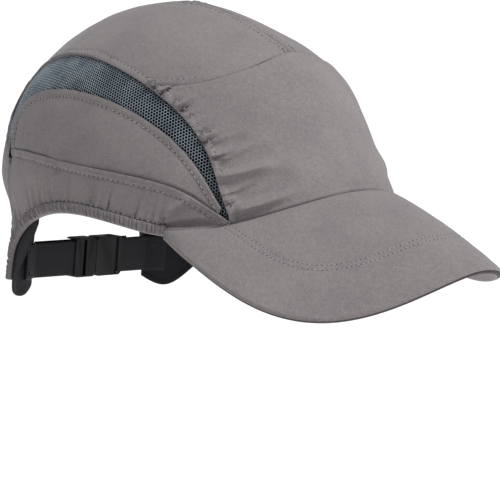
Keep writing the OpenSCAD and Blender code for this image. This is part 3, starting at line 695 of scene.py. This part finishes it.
sideSeams = [(meshLow, "over", 3.2, 0.4, 6, 5), (ridge, "under", 0, 0.2, 6, 5)]
bandSeams = [
    (ridge, "over", 3.6, 0.5, 5.5, 5),
    (rearSeam, "plain", 0, 0.3, 6, 8),
    (earLine(hemWidth), "under", 0, 1.2, 4.2, 11),
    (brimRun(47, 65), "plain", 0, 0.2, 8, 6),
]
bandFolds = [
    ([[67, 1.6], [62, 2.0], [56, 2.6], [49, 3.0]], 1.4, -4.4),
    ([[66, 3.4], [62, 5.4], [58, 7.6], [54, 9.0]], 2.6, 2.4),
    ([[66, 0.3], [61, 0.4], [56, 0.9], [50, 1.8]], 1.4, 0.8),
    ([[100, 9], [101, 12], [102, 14], [103, 16]], 5.0, -0.8),
]


def makeSide(side, label):
    low, high = resample(ridge[8:], 150), resample(meshLow[8:ridgeIndex - 2], 150)
    panelPiece(f"sidePanel{label}", f"side_panel_{label.lower()}", stripBetween(low, high, 30),
               (-0.9, -0.5, 0.1, 0.1), sideSeams, [], 31 + side, side)


def makeBand(side, label, trim):
    low = resample(joined(brimRun(47, 65), earLine(hemWidth)[1:]), 240)
    high = resample(joined(ridge, meshLow[ridgeIndex:], rearSeam), 240)
    panelPiece(f"lowerBand{label}", f"lower_band_{label.lower()}", stripBetween(low, high, 44),
               (-0.6, -0.4, 0.1, 0.1), bandSeams, bandFolds, 41 + side, side)


# ---- gathered hem and binding: a rounded roll whose height swells and dips with the gathers
def rollPiece(name, node, low, high, pitch, gather, seed, side=1):
    rows = 15
    th, v = angles(stripBetween(low, high, rows), side)
    base = skin(th, v)
    run = lengths(base, 0).mean(1)[:, None]
    u = np.linspace(0, 1, rows)[None]
    lobes = np.abs(np.sin(np.pi * (run + 0.3 * pitch * noiseAlong(run, 3 * pitch, seed)) / pitch)) ** 0.7
    arch = np.sqrt(np.maximum(0, 1 - (2 * u - 1) ** 4))
    lift = 0.2 + (1.1 + gather * (lobes - 0.7)) * arch - 0.9 * (1 - arch)
    under = crown["fabric"] + 0.4 * arch + 0.15 * lobes * arch
    return crownPiece(name, th, v, -lift, under, polycottonHem, slot="edge_binding", node=node)


def makeHem(side, label):
    return rollPiece(f"earHem{label}", f"ear_hem_{label.lower()}", resample(earLine(0), 420),
                     resample(earLine(hemWidth + 0.7), 420), 2.5, 1.0, 51 + side, side)


def makeRearBinding():
    low, high = resample(archLine(0), 200), resample(archLine(hemWidth + 0.5), 200)
    return rollPiece("rearBinding", "rear_binding", joined(low, fullTurn(low)), joined(high, fullTurn(high)),
                     4.0, 0.25, 61)


def fullTurn(line):
    # The same line on the wearer's right, from the middle down, with its angle past 180.
    return np.stack([360 - line[::-1, 0], line[::-1, 1]], -1)


makeFront()
binding = makeRearBinding()
for side, label in ((1, "Left"), (-1, "Right")):
    makeCrown(side, label)
    makeSide(side, label)
    makeBand(side, label, [makeHem(side, label)])
print("fabric panels and hems made")

# ---- open mesh at the sides: one closed ring of yarn round each six-sided hole
net = {
    "pitch": 1.7,  # hole to hole along a row
    "row": 1.47,  # row to row
    "hole": 0.84,  # hole's radius
    "yarn": 0.28,  # thickness
    "tuck": 2.2,  # how far it runs under the panels
}


def coneMap():
    # The side of the crown unrolled as a cone that touches it part of the way up: the run up the crown
    # is the cone's slope, and the run round its foot is the cone's turn.
    footRadius, touchAt = 98, 25
    v = np.linspace(-20, 89, 500)
    r, z = footRadius * cosd(np.maximum(0, v)) ** crown["closing"], rise(v)
    slope = np.concatenate([[0], np.cumsum(np.hypot(np.diff(r), np.diff(z)))])
    th = np.linspace(0, 180, 720)
    foot = np.stack([crown["halfWidth"] * sind(th), -crown["frontLen"] * cosd(th)], -1)
    around = lengths(foot, 0)
    k = np.searchsorted(v, touchAt)
    apex = slope[k] + r[k] / ((r[k - 1] - r[k + 1]) / (slope[k + 1] - slope[k - 1]))
    share = r[k] / footRadius / (apex - slope[k])
    return v, slope, th, around, apex, share


coneV, coneSlope, coneTh, coneRun, coneApex, coneShare = coneMap()


def toCone(p):
    r = coneApex - np.interp(p[..., 1], coneV, coneSlope)
    a = np.interp(p[..., 0], coneTh, coneRun) * coneShare
    return np.stack([r * np.sin(a), -r * np.cos(a)], -1)


def fromCone(q):
    v = np.interp(coneApex - np.linalg.norm(q, axis=-1), coneSlope, coneV)
    th = np.interp(np.arctan2(q[..., 0], -q[..., 1]) / coneShare, coneRun, coneTh)
    return np.stack([th, v], -1)


def insideLoop(q, loop):
    # A point is inside if a line from it crosses the loop an odd number of times.
    a, b = loop, np.roll(loop, -1, axis=0)
    x, y = q[:, :1], q[:, 1:]
    cross = (a[:, 1] > y) != (b[:, 1] > y)
    with np.errstate(divide="ignore", invalid="ignore"):
        at = (b[:, 0] - a[:, 0]) * (y - a[:, 1]) / (b[:, 1] - a[:, 1]) + a[:, 0]
    return (cross & (x < at)).sum(1) % 2 == 1


def makeNet(side, label):
    border = toCone(np.concatenate([meshLow[::3], meshTop[::-3]]))
    low, high = border.min(0) - 4, border.max(0) + 4
    px, py = net["pitch"], net["row"]
    i, j = np.meshgrid(np.arange(int((high[0] - low[0]) / px)), np.arange(int((high[1] - low[1]) / py)),
                       indexing="ij")
    centres = np.stack([low[0] + (i + 0.5 * (j % 2)) * px, low[1] + j * py], -1)
    flatCentres = centres.reshape(-1, 2)
    keep = (insideLoop(flatCentres, border) | (gapTo(flatCentres, border) < net["tuck"])).reshape(i.shape)
    # Corners of the cells, shared by neighbours, then the hole's rim and its foot.
    turn = np.radians(30 + 60 * np.arange(6))
    ray = np.stack([np.cos(turn) * px / np.sqrt(3), np.sin(turn) * py / 1.5], -1)
    kept = centres[keep]
    corners = kept[:, None] + ray[None]
    keys = np.round(corners.reshape(-1, 2) * 50).astype(np.int64)
    _, first, index = np.unique(keys, axis=0, return_index=True, return_inverse=True)
    index = index.reshape(-1, 6)
    cornerPoints = corners.reshape(-1, 2)[first]
    hole = np.stack([np.cos(turn), np.sin(turn)], -1) * net["hole"]
    rim = (kept[:, None] + hole[None]).reshape(-1, 2)

    def lay(q, depth):
        ang = fromCone(q)
        inner = insideLoop(q, border)
        sink = smooth(1 - np.where(inner, gapTo(q, border), 0) / 2.0) + np.where(inner, 0, 0.25)
        return skin(ang[:, 0] * side, ang[:, 1], depth + sink)

    k, c = len(kept), len(cornerPoints)
    depth, yarn = 0.25, net["yarn"]
    points = np.concatenate([lay(cornerPoints, depth), lay(rim, depth + 0.1), lay(cornerPoints, depth + yarn),
                             lay(rim, depth + yarn)])
    rimIndex = c + np.arange(6 * k).reshape(-1, 6)
    after = np.roll(np.arange(6), -1)
    under = c + 6 * k

    def band(a, b):
        return np.stack([a, a[:, after], b[:, after], b], -1).reshape(-1, 4)

    faces = [band(index, rimIndex), band(rimIndex, rimIndex + under), band(rimIndex + under, index + under)]
    # Walls where a cell has no neighbour: an edge of a cell that only one cell uses.
    edges = np.stack([index, index[:, after]], -1).reshape(-1, 2)
    code = np.sort(edges, 1) @ np.array([c, 1])
    _, back, count = np.unique(code, return_inverse=True, return_counts=True)
    alone = edges[count[back] == 1]
    faces.append(np.stack([alone[:, 1], alone[:, 0], alone[:, 0] + under, alone[:, 1] + under], 1))
    piece = makePiece(f"meshPanel{label}", points, faces, meshYarn, slot="spacer_mesh",
                      node=f"mesh_{label.lower()}", sharp=80)
    # A black sheet behind the holes: painted shade, standing in for the shaded inside of the cap seen through
    # them.
    th, v = angles(stripBetween(resample(meshLow, 150), resample(meshTop, 150), 24), side)
    crownPiece(f"meshBackingPaintedShade{label}", th, v, 2.0, 2.15, netBackingPaintedShade, slot="black_lining")


for side, label in ((1, "Left"), (-1, "Right")):
    makeNet(side, label)
print("mesh panels made")

# ---- stitching: short twisted lengths of thread, each half sunk in the cloth
stitch = {"pitch": 3.0, "length": 2.3, "radius": 0.24}
visorStitch = {"pitch": 2.4, "length": 1.5, "radius": 0.2}
strapStitch = {"pitch": 2.2, "length": 1.7, "radius": 0.2}


def stitchRow(path, normals, pitch, length, radius):
    # Centres a pitch apart along a path, with the direction, side and normal at each.
    run = lengths(path, 0)
    s = np.arange(pitch / 2, run[-1], pitch)
    take = lambda a: np.stack([np.interp(s, run, a[:, k]) for k in range(3)], -1)
    t, n = unit(take(np.gradient(path, axis=0))), take(normals)
    n = unit(n - t * (n * t).sum(1, keepdims=True))
    return take(path), t, np.cross(n, t), n, length, radius


def needleHoleShade(rows, pitch, length, radius):
    # Painted shade of the needle holes: a short dark stitch between each two.
    return [(centre + t * pitch / 2, t, w, n, length, radius) for centre, t, w, n, *_ in rows]


def stitchPiece(name, rows, material, slot="grey_fabric"):
    # One short bent tube, repeated: five rings of five, thick in the middle and dipping at its ends.
    a = np.linspace(-1, 1, 5)
    b = np.arange(5) * 2 * np.pi / 5
    fat = np.sqrt(1 - 0.8 * a ** 4)[:, None]
    one = np.stack([np.broadcast_to(a[:, None], (5, 5)), fat * np.cos(b), fat * np.sin(b)], -1).reshape(-1, 3)
    dip = -0.9 * one[:, 0] ** 4 + 0.35
    ring = np.arange(20).reshape(4, 5)
    quads = np.stack([ring, np.roll(ring, -1, 1), np.roll(ring, -1, 1) + 5, ring + 5], -1).reshape(-1, 4)
    caps = np.array([[4, 3, 2, 1, 0], [20, 21, 22, 23, 24]])
    points, count = [], 0
    for centre, t, w, n, length, radius in rows:
        p = (centre[:, None] + t[:, None] * one[None, :, :1] * length / 2
             + w[:, None] * one[None, :, 1:2] * radius
             + n[:, None] * ((one[:, 2] + dip) * radius)[None, :, None])
        points.append(p.reshape(-1, 3))
        count += len(centre)
    shift = 25 * np.arange(count)[:, None, None]
    faces = [(quads[None] + shift).reshape(-1, 4), (caps[None] + shift).reshape(-1, 5)]
    makePiece(name, np.concatenate(points), faces, material, slot=slot)


def crownRow(line, gap, side, seams, seed, folds):
    # A row of stitches at a distance from a seam, on the panel's own height there.
    flatLine = toFlat(line)
    step = unit(np.gradient(flatLine, axis=0))
    moved = flatLine + np.stack([-step[:, 1], step[:, 0]], -1) * gap
    # The flat map is stretched unevenly, so the move is scaled to its true length.
    real = np.linalg.norm(skin(*fromFlat(flatLine + (moved - flatLine) * 1e-3 / max(1e-9, abs(gap))).T)
                          - skin(line[:, 0], line[:, 1]), axis=1) * 1e3
    moved = flatLine + (moved - flatLine) / real[:, None]
    th, v = angles(moved, side)
    high = clothHeight(th, v, seams, folds, seed, side)
    return stitchRow(skin(th, v, -high), outward(th, v), **stitch)


def makeCrownStitches():
    rows = []
    for side in (1, -1):
        for line, count, gap, seams, seed, folds in (
                (frontSide, 120, 3.2, frontSeams, 11, frontFolds),
                (crownSide, 240, 3.2, crownSeams, 23 + side, ()),
                (meshLow[8:228], 240, -3.2, sideSeams, 31 + side, ()),
                (ridge[6:232], 240, -3.6, bandSeams, 41 + side, bandFolds),
                (topSeam, 160, 3.6, crownSeams, 23 + side, ()),
                (middleFront[:-3], 120, -3.9, crownSeams, 23 + side, ()),
                (middleBack[4:], 160, -3.9, crownSeams, 23 + side, ()),
                (earLine(hemWidth), 240, 1.2, bandSeams, 41 + side, bandFolds)):
            rows.append(crownRow(resample(line, count), gap, side, seams, seed, folds))
    # Dark stitches between the grey ones: painted shade of the needle holes.
    stitchPiece("needleHoleShade", needleHoleShade(rows, stitch["pitch"], 0.75, 0.26), darkThreadAndHoleShade)
    stitchPiece("crownStitches", rows, thread)


makeCrownStitches()
print("stitches made")

# ---- visor
visor = {
    "half": 81.2,
    "reach": 69.7,
    "cornerAt": 46.6,  # how far ahead of the middle the corners are
    "swell": 0.28,
    "droop": 102.4,
    "tip": -2.2,
    "point": 1.22,  # power of the outline, higher is more pointed
    "leftDroop": 0.5,  # share of the droop that the wearer's left side keeps
    "leftSwell": 0.1,
    "leftPoint": 1.5,
    "crowning": 3.0,
    "edge": 2.1,  # radius of the rolled edge, and half the thickness of the whole visor
}


def outline(a):
    # Half an oval that swells past the corners and droops at its sides, the wearer's left one less.
    s, c = sind(a), np.maximum(0, cosd(a))
    t, left = np.abs(s), a > 0
    swell = np.where(left, visor["leftSwell"], visor["swell"])
    keep = np.where(left, visor["leftDroop"], 1)
    sag = -visor["droop"] * t ** 2 + (visor["droop"] - 6.8) * t ** 4 + 8.6 * t ** 6
    point = np.where(left, visor["leftPoint"], visor["point"])
    ahead = (crown["frontLen"] + visor["reach"] - visor["cornerAt"]) * c ** point
    return np.stack([visor["half"] * s * (1 + swell * c * t * 2), -visor["cornerAt"] - ahead,
                     visor["tip"] + keep * sag + (1 - keep) * 1.8 * t ** 2], -1)


def visorFace(a, r):
    # A straight run from the forehead seam to the outline, crowned by 4 r (1 - r).
    th = a * crown["brimSpan"] / 90
    p, q = skin(th, brim(th), -0.4), outline(a)
    r = r[..., None]
    return p * (1 - r) + q * r + np.array([0, 0, 1]) * visor["crowning"] * 4 * r * (1 - r)


def visorNormal(a, r):
    n = unit(np.cross(visorFace(a + 0.2, r) - visorFace(a - 0.2, r),
                      visorFace(a, r + 0.005) - visorFace(a, r - 0.005)))
    return n * np.sign(n[..., 2:])


archCurve = [[0, 0.675], [15, 0.63], [33, 0.6], [48, 0.78], [57, 0.32], [64.5, 0.02]]


def archRow(away):
    # The stitched arch on the visor as (a, r), moved outwards by a distance.
    line = bezier(archCurve, np.linspace(0, 1, 300))
    line = np.concatenate([(line * [-1, 1])[::-1], line[1:]])
    p, n = visorFace(line[:, 0], line[:, 1]), visorNormal(line[:, 0], line[:, 1])
    aside = np.cross(unit(np.gradient(p, axis=0)), n)
    return p + aside * away * np.sign(aside[:, 1:2].mean()) * -1, n


archIn, archNormal = archRow(0)
archOut, _ = archRow(3)


def visorHeight(p, under):
    # The cloth puffs slightly over the board and dips along both rows of the arch and at the seam.
    gaps = [gapTo(p.reshape(-1, 3), path[::3]).reshape(p.shape[:-1]) for path in (archIn, archOut)]
    dip = sum(0.22 * bell(gap, 0, 0.9) for gap in gaps)
    return 0.07 * noiseAt(p, 22, 71 + under) + 0.05 * noiseAt(p, 7, 72 + under) - dip


def rollRadius(a):
    # The rolled edge thins out towards the corners, where the visor runs in under the hem.
    return visor["edge"] * (0.2 + 0.8 * smooth((90 - np.abs(a)) / 14))


def makeVisorCover(name, node, way, endTurn, seed):
    # way is 1 above and -1 below. Past the outline the cover carries on round the rolled edge,
    # from straight up (or down) through endTurn degrees.
    a = np.linspace(-88, 88, 260)[:, None]
    r = np.linspace(0, 1, 56)[None] ** 0.9
    a2, r2 = np.broadcast_arrays(a, r)
    face = visorFace(a2, r2)
    n = visorNormal(a2, np.clip(r2, 0.01, 0.99))
    wide = np.linalg.norm(outline(a2) - visorFace(a2, np.zeros_like(r2)), axis=-1)
    near = smooth(r2 * wide / 3.5)
    high = rollRadius(a2) * (0.25 + 0.75 * near) + visorHeight(face, seed) * near * (way > 0)
    flatPart = face + way * n * high[..., None]
    edgeN = visorNormal(a2[:, :1], np.full_like(r2[:, :1], 0.99))[:, 0]
    line = outline(a[:, 0])
    out = np.cross(edgeN, unit(np.gradient(line, axis=0)))
    out *= np.sign((out * (line - np.array([0, -90, 0]))).sum(1, keepdims=True))
    turns = np.linspace(0, endTurn, 12)[None, 1:, None]
    away = way * edgeN[:, None] * cosd(turns) + out[:, None] * sind(turns)
    roll = line[:, None] + rollRadius(a[:, :1])[..., None] * away
    outer, inward = np.concatenate([flatPart, roll], 1), np.concatenate([way * n, away], 1)
    piece = shellPiece(name, outer, outer - inward * 0.5, polycotton, slot="grey_fabric", node=node)
    return line, out, edgeN


rimLine, rimOut, rimUp = makeVisorCover("visorTopCover", "visor_top_cover", 1, 64, 0)
makeVisorCover("visorUnderCover", "visor_under_cover", -1, 40, 3)


def makeRim():
    # Folded strip inside the rolled edge, seen as a thin dark line under it: its dark cloth is painted shade
    # of the roll's underside.
    turns = np.linspace(0, 360, 17)[:-1]
    ring = rimOut[:, None] * cosd(turns)[None, :, None] + rimUp[:, None] * sind(turns)[None, :, None]
    ring = ring * (visor["edge"] - 0.22)
    ring = ring * (rollRadius(np.linspace(-88, 88, len(rimLine))) / visor["edge"])[:, None, None]
    tubePiece("visorRim", (rimLine[:, None] + ring)[2:-2], rimClothPaintedShade, slot="rim_binding", node="visor_rim")


makeRim()


def makeVisorStitches():
    rows = []
    for path in (archIn, archOut):
        height = visor["edge"] + visorHeight(path, 0)
        rows.append(stitchRow(path + archNormal * height[:, None], archNormal, **visorStitch))
    # Dark stitches between the grey ones: painted shade of the needle holes.
    stitchPiece("visorNeedleHoleShade", needleHoleShade(rows, visorStitch["pitch"], 0.7, 0.22), darkThreadAndHoleShade)
    stitchPiece("visorStitches", rows, thread)


makeVisorStitches()
print("visor made")

# ---- black linings on the tails, sweatband, shell and pads
liner = {"depth": 1.9, "thick": 1.2, "drop": 9}
pads = {"depth": 5.2, "thick": 4.5}
shell = {"out": 2.6, "in": 4.6}  # depths of its faces below the fabric's
sweat = {"halfSpan": 98, "height": 28, "depth": 1.9, "thick": 2.2}  # sweatband, half its span in degrees


def makeLiner(side, label):
    foot = crown["tailDrop"] + liner["drop"]
    low = bezier([[110, -4], [119, -foot + 12], [133, -foot - 10], [149.3, -foot + 5]], np.linspace(0, 1, 90))
    low = np.stack([low[:, 0], place(low[:, 1])], -1)
    i = np.linspace(0, 12, 90)
    high = np.stack([110 + 39.3 * i / 12, place(14 - 26 * smooth((i - 4) / 9))], -1)
    th, v = angles(stripBetween(low, high, 50), side)
    base = skin(th, v)
    soft = 0.25 * noiseAt(base, 16, 81 + side) + 0.1 * noiseAt(base, 6, 83 + side)
    edge = np.minimum(lengths(base, 1), lengths(base[:, ::-1], 1)[:, ::-1])
    soft = soft + 0.35 * bell(edge, 1.6, 1.2) - 0.3 * bell(edge, 3.6, 0.6)
    piece = crownPiece(f"tailLiner{label}", th, v, liner["depth"] - 0.2 * soft,
                       liner["depth"] + liner["thick"] + 0.4 * soft, blackLining,
                       slot="black_lining", node=f"tail_liner_{label.lower()}")


def makeSweatband():
    around = np.linspace(-sweat["halfSpan"], sweat["halfSpan"], 280)
    foot = rise(np.maximum(brim(around), 0)) + 1.5 + 6 * smooth((np.abs(around) - 62) / 20)
    head = rise(brim(around)) + sweat["height"] - 5 * smooth((np.abs(around) - 60) / 35)
    th, v = angles(stripBetween(*(np.stack([around, place(z)], -1) for z in (foot, head)), 40))
    j = np.linspace(0, 1, 40)[None]
    deep = sweat["depth"] + (pads["depth"] - sweat["depth"]) * smooth(j * 5)
    base = skin(th, v)
    loops = 0.22 * noiseAt(base, 2.4, 91) + 0.15 * noiseAt(base, 9, 92)
    padding = sweat["thick"] * (1 - 0.75 * (2 * np.abs(j - 0.5)) ** 8)
    piece = crownPiece("sweatband", th, v, deep, deep + padding + loops, terry,
                       slot="terry_band", node="sweatband")


def makeShell():
    # Rings of cells from the rim to the top, with rows of rounded vents left open.
    columns, rows, perTurn, perRow = 40, 10, 6, 5
    n, m = columns * perTurn, rows * perRow + 1
    th = np.arange(n) * 360 / n - 180
    low = 19 - 4 * np.maximum(0, cosd(th)) ** 2 + 4 * np.maximum(0, -cosd(th)) ** 2
    j = np.linspace(0, rows, m)
    v = low[:, None] + (90 - low[:, None]) * j[None] / (rows + 1)
    th2 = np.broadcast_to(th[:, None], v.shape)
    ci, cj = np.meshgrid(np.arange(n), np.arange(m - 1), indexing="ij")
    inCell = (ci // perTurn % 4 == 1)
    rowOf = cj // perRow
    top, bottom = np.isin(rowOf, [2, 5]), np.isin(rowOf, [3, 6])
    # Each pair of cells, one over the other, makes one vent with rounded ends.
    x = ((ci % perTurn) + 0.5) / perTurn * 2 - 1
    y = ((cj - np.where(top, rowOf, rowOf - 1) * perRow) + 0.5) / (2 * perRow) * 2 - 1
    gone = inCell & (top | bottom) & (np.abs(x) ** 4 + np.abs(y) ** 8 < 0.93)
    solid = ~gone
    at = lambda i, k: (i % n) * m + k
    i, k = ci[solid], cj[solid]
    outerFaces = np.stack([at(i, k), at(i + 1, k), at(i + 1, k + 1), at(i, k + 1)], 1)
    far = n * m
    faces = [outerFaces, outerFaces[:, ::-1] + far]

    # A wall on each side of a cell with nothing across it, from the corner that comes first to the next.
    # Past the top row is the cap, and below the first is the rim.
    beyond = np.pad(solid, ((0, 0), (1, 1)))
    beyond[:, -1] = True
    for di, dk, first, second in ((1, 0, (1, 0), (1, 1)), (-1, 0, (0, 1), (0, 0)),
                                  (0, 1, (1, 1), (0, 1)), (0, -1, (0, 0), (1, 0))):
        bare = solid & ~np.roll(beyond, -di, 0)[:, 1 + dk:m + dk]
        a, b = (at(ci[bare] + x, cj[bare] + y) for x, y in (first, second))
        faces.append(np.stack([b, a, a + far, b + far], 1))
    capRing = np.arange(n) * m + m - 1
    points = [skin(a, b, shell[face]).reshape(-1, 3) for a, b in ((th2, v), (0.0, 90.0)) for face in shell]
    tip = 2 * far
    faces.append(np.stack([capRing, np.roll(capRing, -1), np.full(n, tip)], 1))
    faces.append(np.stack([np.roll(capRing, -1) + far, capRing + far, np.full(n, tip + 1)], 1))
    makePiece("innerShell", np.concatenate(points), faces, shellPlastic, slot="shell_plastic",
              node="inner_shell", sharp=40)


def padPiece(name, node, th, v, fullness, groove=0, wrap=False):
    # Flat on the shell and crowned towards the head, where the fullness is 1 and falls to 0 at the edges.
    inner = pads["depth"] + 0.1 + (pads["thick"] - 0.1) * fullness - groove
    piece = crownPiece(name, th, v, pads["depth"], inner, padFoam, wrap=wrap, slot="pad_foam", node=node,
                       sharp=70)


def makePad(name, node, middle, half, low, high):
    a = np.linspace(-1, 1, 80)[:, None]
    b = np.linspace(-1, 1, 40)[None]
    lo, hi = low + 5 * np.abs(a) ** 4, high - 5 * np.abs(a) ** 4
    v = lo + (hi - lo) * (b + 1) / 2
    fullness = ((1 - np.abs(a) ** 10) * (1 - np.abs(b) ** 6)) ** 0.4
    padPiece(name, node, np.broadcast_to(middle + half * a, v.shape), v, fullness)


def makeCrownPad():
    n, m = 96, 30
    th = np.broadcast_to(np.arange(n)[:, None] * 360 / n, (n, m))
    r = np.linspace(0, 1, m)[None]
    v = np.broadcast_to(89.8 - 23.8 * r, (n, m))
    groove = 0.9 * bell(r * 24, 14, 0.8) * (np.abs(r) < 0.95)
    padPiece("crownPad", "crown_pad", th, v, (1 - r ** 8) ** 0.4, groove, wrap=True)


for side, label in ((1, "Left"), (-1, "Right")):
    makeLiner(side, label)
    makePad(f"sidePad{label}", f"side_pad_{label.lower()}", 90 * side, 32, 32, 58)
makeSweatband()
makeShell()
makePad("frontPad", "front_pad", 0, 30, 37, 60)
makePad("rearPad", "rear_pad", 180, 32, 30, 58)
makeCrownPad()
print("linings, shell and pads made")

# ---- strap and clip, placed from the frame
strap = {"thick": 1.5, "width": 18.0, "bar": 1.4, "play": 0.35, "sewn": 11.0, "lap": 11, "tail": 30}


def nodeBox(name):
    low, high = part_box(name)
    return np.array(low) / mm, np.array(high) / mm


housingLow, housingHigh = nodeBox("clip_housing")
baseLow, _ = nodeBox("clip_base")
strapLow, strapHigh = nodeBox("strap_left")
strap["level"] = (strapLow[2] + strapHigh[2]) / 2
strap["clipY"] = (housingLow[1] + housingHigh[1]) / 2
strap["loop"] = strap["bar"] + strap["play"]
strap["y"] = strap["clipY"] - strap["loop"] - strap["thick"] / 2
housingBar = housingHigh[0] - strap["bar"] - 0.2
baseBar = baseLow[0] + strap["bar"] + 3.6


def tailInside(x):
    # Where the strap lies against the tail's lining at a distance x from the middle.
    d = liner["depth"] + liner["thick"]
    th = 180 - np.degrees(np.arcsin(x / (crown["halfWidth"] - d)))
    return skin(th, strap["level"] + 0 * th, d + 0.15)[..., 1]


def strapPath(bar, way, lap):
    # From the tail, straight across to the bar, half a turn round it, and back along the far side.
    x = archHalf - 1 + (strap["sewn"] + 1) * np.linspace(1, 0, 24)
    y = np.minimum(strap["y"], tailInside(x) - strap["thick"] / 2)
    first = np.stack([x, y], -1)
    straight = np.stack([np.linspace(x[-1], bar, 60)[1:], np.full(59, strap["y"])], -1)
    t = np.linspace(-90, 90, 26)[1:]
    radius = strap["loop"] + strap["thick"] / 2
    turn = np.stack([bar - radius * cosd(t), strap["clipY"] + radius * sind(t)], -1)
    home = np.stack([np.linspace(bar, bar + lap, 40)[1:], np.full(39, strap["clipY"] + radius)], -1)
    path = np.concatenate([first, straight, turn, home])
    return path * [way, 1]


def makeStrap(name, node, bar, way, lap):
    path = strapPath(bar, way, lap)
    t = unit(np.gradient(path, axis=0))
    n = np.stack([-t[:, 1], t[:, 0]], -1)
    # Section: a flat band with rounded selvedges, and a rib down each edge.
    s = np.linspace(0, 2 * np.pi, 41)[:-1]
    half = strap["width"] / 2
    z = half * np.sign(np.cos(s)) * np.abs(np.cos(s)) ** 0.35
    y = strap["thick"] / 2 * np.sign(np.sin(s)) * np.abs(np.sin(s)) ** 0.5
    y = y * (1 - 0.16 * bell(np.abs(z), half - 2.2, 0.7))
    points = np.empty((len(path), len(s), 3))
    points[..., :2] = path[:, None] + n[:, None] * y[None, :, None]
    points[..., 2] = strap["level"] + z[None]
    run = lengths(path, 0)
    uv = np.stack(np.broadcast_arrays(run[:, None], z[None]), -1)
    piece = tubePiece(name, points, webbing, uv, slot="webbing", node=node)
    return piece


makeStrap("strapLeft", "strap_left", housingBar, 1, strap["lap"])
strapRight = makeStrap("strapRight", "strap_right", -baseBar, -1, strap["tail"])


def boxStitches():
    # A sewn box with a cross on each tail.
    rows = []
    half = strap["width"] / 2 - 2
    for way in (1, -1):
        x0, x1 = archHalf + 1.5, archHalf + strap["sewn"] - 2
        lines = [((x0, -half), (x1, -half)), ((x1, -half), (x1, half)), ((x1, half), (x0, half)),
                 ((x0, half), (x0, -half)), ((x0, -half), (x1, half)), ((x0, half), (x1, -half))]
        for (xa, za), (xb, zb) in lines:
            x = np.linspace(xa, xb, 30)
            y = np.minimum(strap["y"], tailInside(x) - strap["thick"] / 2) - strap["thick"] / 2
            path = np.stack([way * x, y, strap["level"] + np.linspace(za, zb, 30)], -1)
            rows.append(stitchRow(path, np.tile([0.0, -1.0, 0.0], (30, 1)), **strapStitch))
    stitchPiece("strapStitches", rows, darkThreadAndHoleShade, slot="webbing")


boxStitches()


def softened(name, node, body, width):
    # A copy of the moulded piece with its loose triangles merged and its corners rounded.
    data = nodes[node].data.copy()
    data.name = name
    piece = bpy.data.objects.new(name, data)
    bpy.context.scene.collection.objects.link(piece)
    bm = bmesh.new()
    bm.from_mesh(data)
    bmesh.ops.remove_doubles(bm, verts=bm.verts, dist=2e-6)
    bmesh.ops.dissolve_limit(bm, angle_limit=np.radians(1), verts=bm.verts, edges=bm.edges)
    bm.to_mesh(data)
    bm.free()
    data.materials.clear()
    data.materials.append(clipPlastic)
    data.polygons.foreach_set("use_smooth", np.ones(len(data.polygons), bool))
    bevel = piece.modifiers.new("roundedCorners", "BEVEL")
    bevel.width = width * mm
    bevel.segments = 3
    bevel.limit_method = "ANGLE"
    bevel.angle_limit = np.radians(32)
    bevel.harden_normals = True
    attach(piece, body)
    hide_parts(node)


softened("clipHousing", "clip_housing", "cap", 0.35)
softened("clipBase", "clip_base", "clip_male", 0.3)
softened("prongUpper", "prong_upper", "prong_upper", 0.25)
softened("prongLower", "prong_lower", "prong_lower", 0.25)
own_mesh(strapRight)
for slot in nodes["visor_board"].material_slots:
    slot.material = boardPlastic
print("strap and clip made")

# ---- floor and light
studio = {"floorRadius": 150.0, "drop": 3.0, "key": 3.0, "softness": 22, "sky": 0.36}


def addFloor():
    low = cadBox[0][2]
    t = np.linspace(0, 2 * np.pi, 97)[:-1]
    points = np.stack([np.cos(t), np.sin(t), 0 * t], -1) * studio["floorRadius"]
    points[:, 2] = low - studio["drop"]
    data = bpy.data.meshes.new("floor")
    data.from_pydata(points.tolist(), [], [list(range(96))])
    material, tree, shader = newMaterial("whitePaperFloor", "#fbfbfb", 0.9)
    place = addNode(tree, "ShaderNodeTexCoord")
    mottle = addNode(tree, "ShaderNodeTexNoise", {"Scale": 3.0}, {"Vector": place.outputs["Object"]})
    tone = addNode(tree, "ShaderNodeMix", {6: linear("#fafafa"), 7: linear("#ffffff")},
                   {0: mottle.outputs[0]}, data_type="RGBA")
    tree.links.new(tone.outputs[2], shader.inputs["Base Color"])
    data.materials.append(material)
    floor = bpy.data.objects.new("floor", data)
    bpy.context.scene.collection.objects.link(floor)


def addLight(name, towards, power, softness):
    # A large distant softbox: softness is how many degrees wide it looks from the cap.
    data = bpy.data.lights.new(name, "SUN")
    data.energy = power
    data.angle = np.radians(softness)
    lamp = bpy.data.objects.new(name, data)
    lamp.rotation_mode = "QUATERNION"
    lamp.rotation_quaternion = (-Vector(towards)).to_track_quat("-Z", "Y")
    bpy.context.scene.collection.objects.link(lamp)


addFloor()
addLight("keyFromAbove", across * 0.75 + back * 0.35 + Vector((0, 0, 1.3)), studio["key"], studio["softness"])
world = bpy.data.worlds.new("studio")
world.use_nodes = True
world.node_tree.nodes["Background"].inputs["Color"].default_value = (1, 1, 1, 1)
world.node_tree.nodes["Background"].inputs["Strength"].default_value = studio["sky"]
bpy.context.scene.world = world
bpy.context.scene.view_settings.view_transform = "Standard"
print("floor and light made")
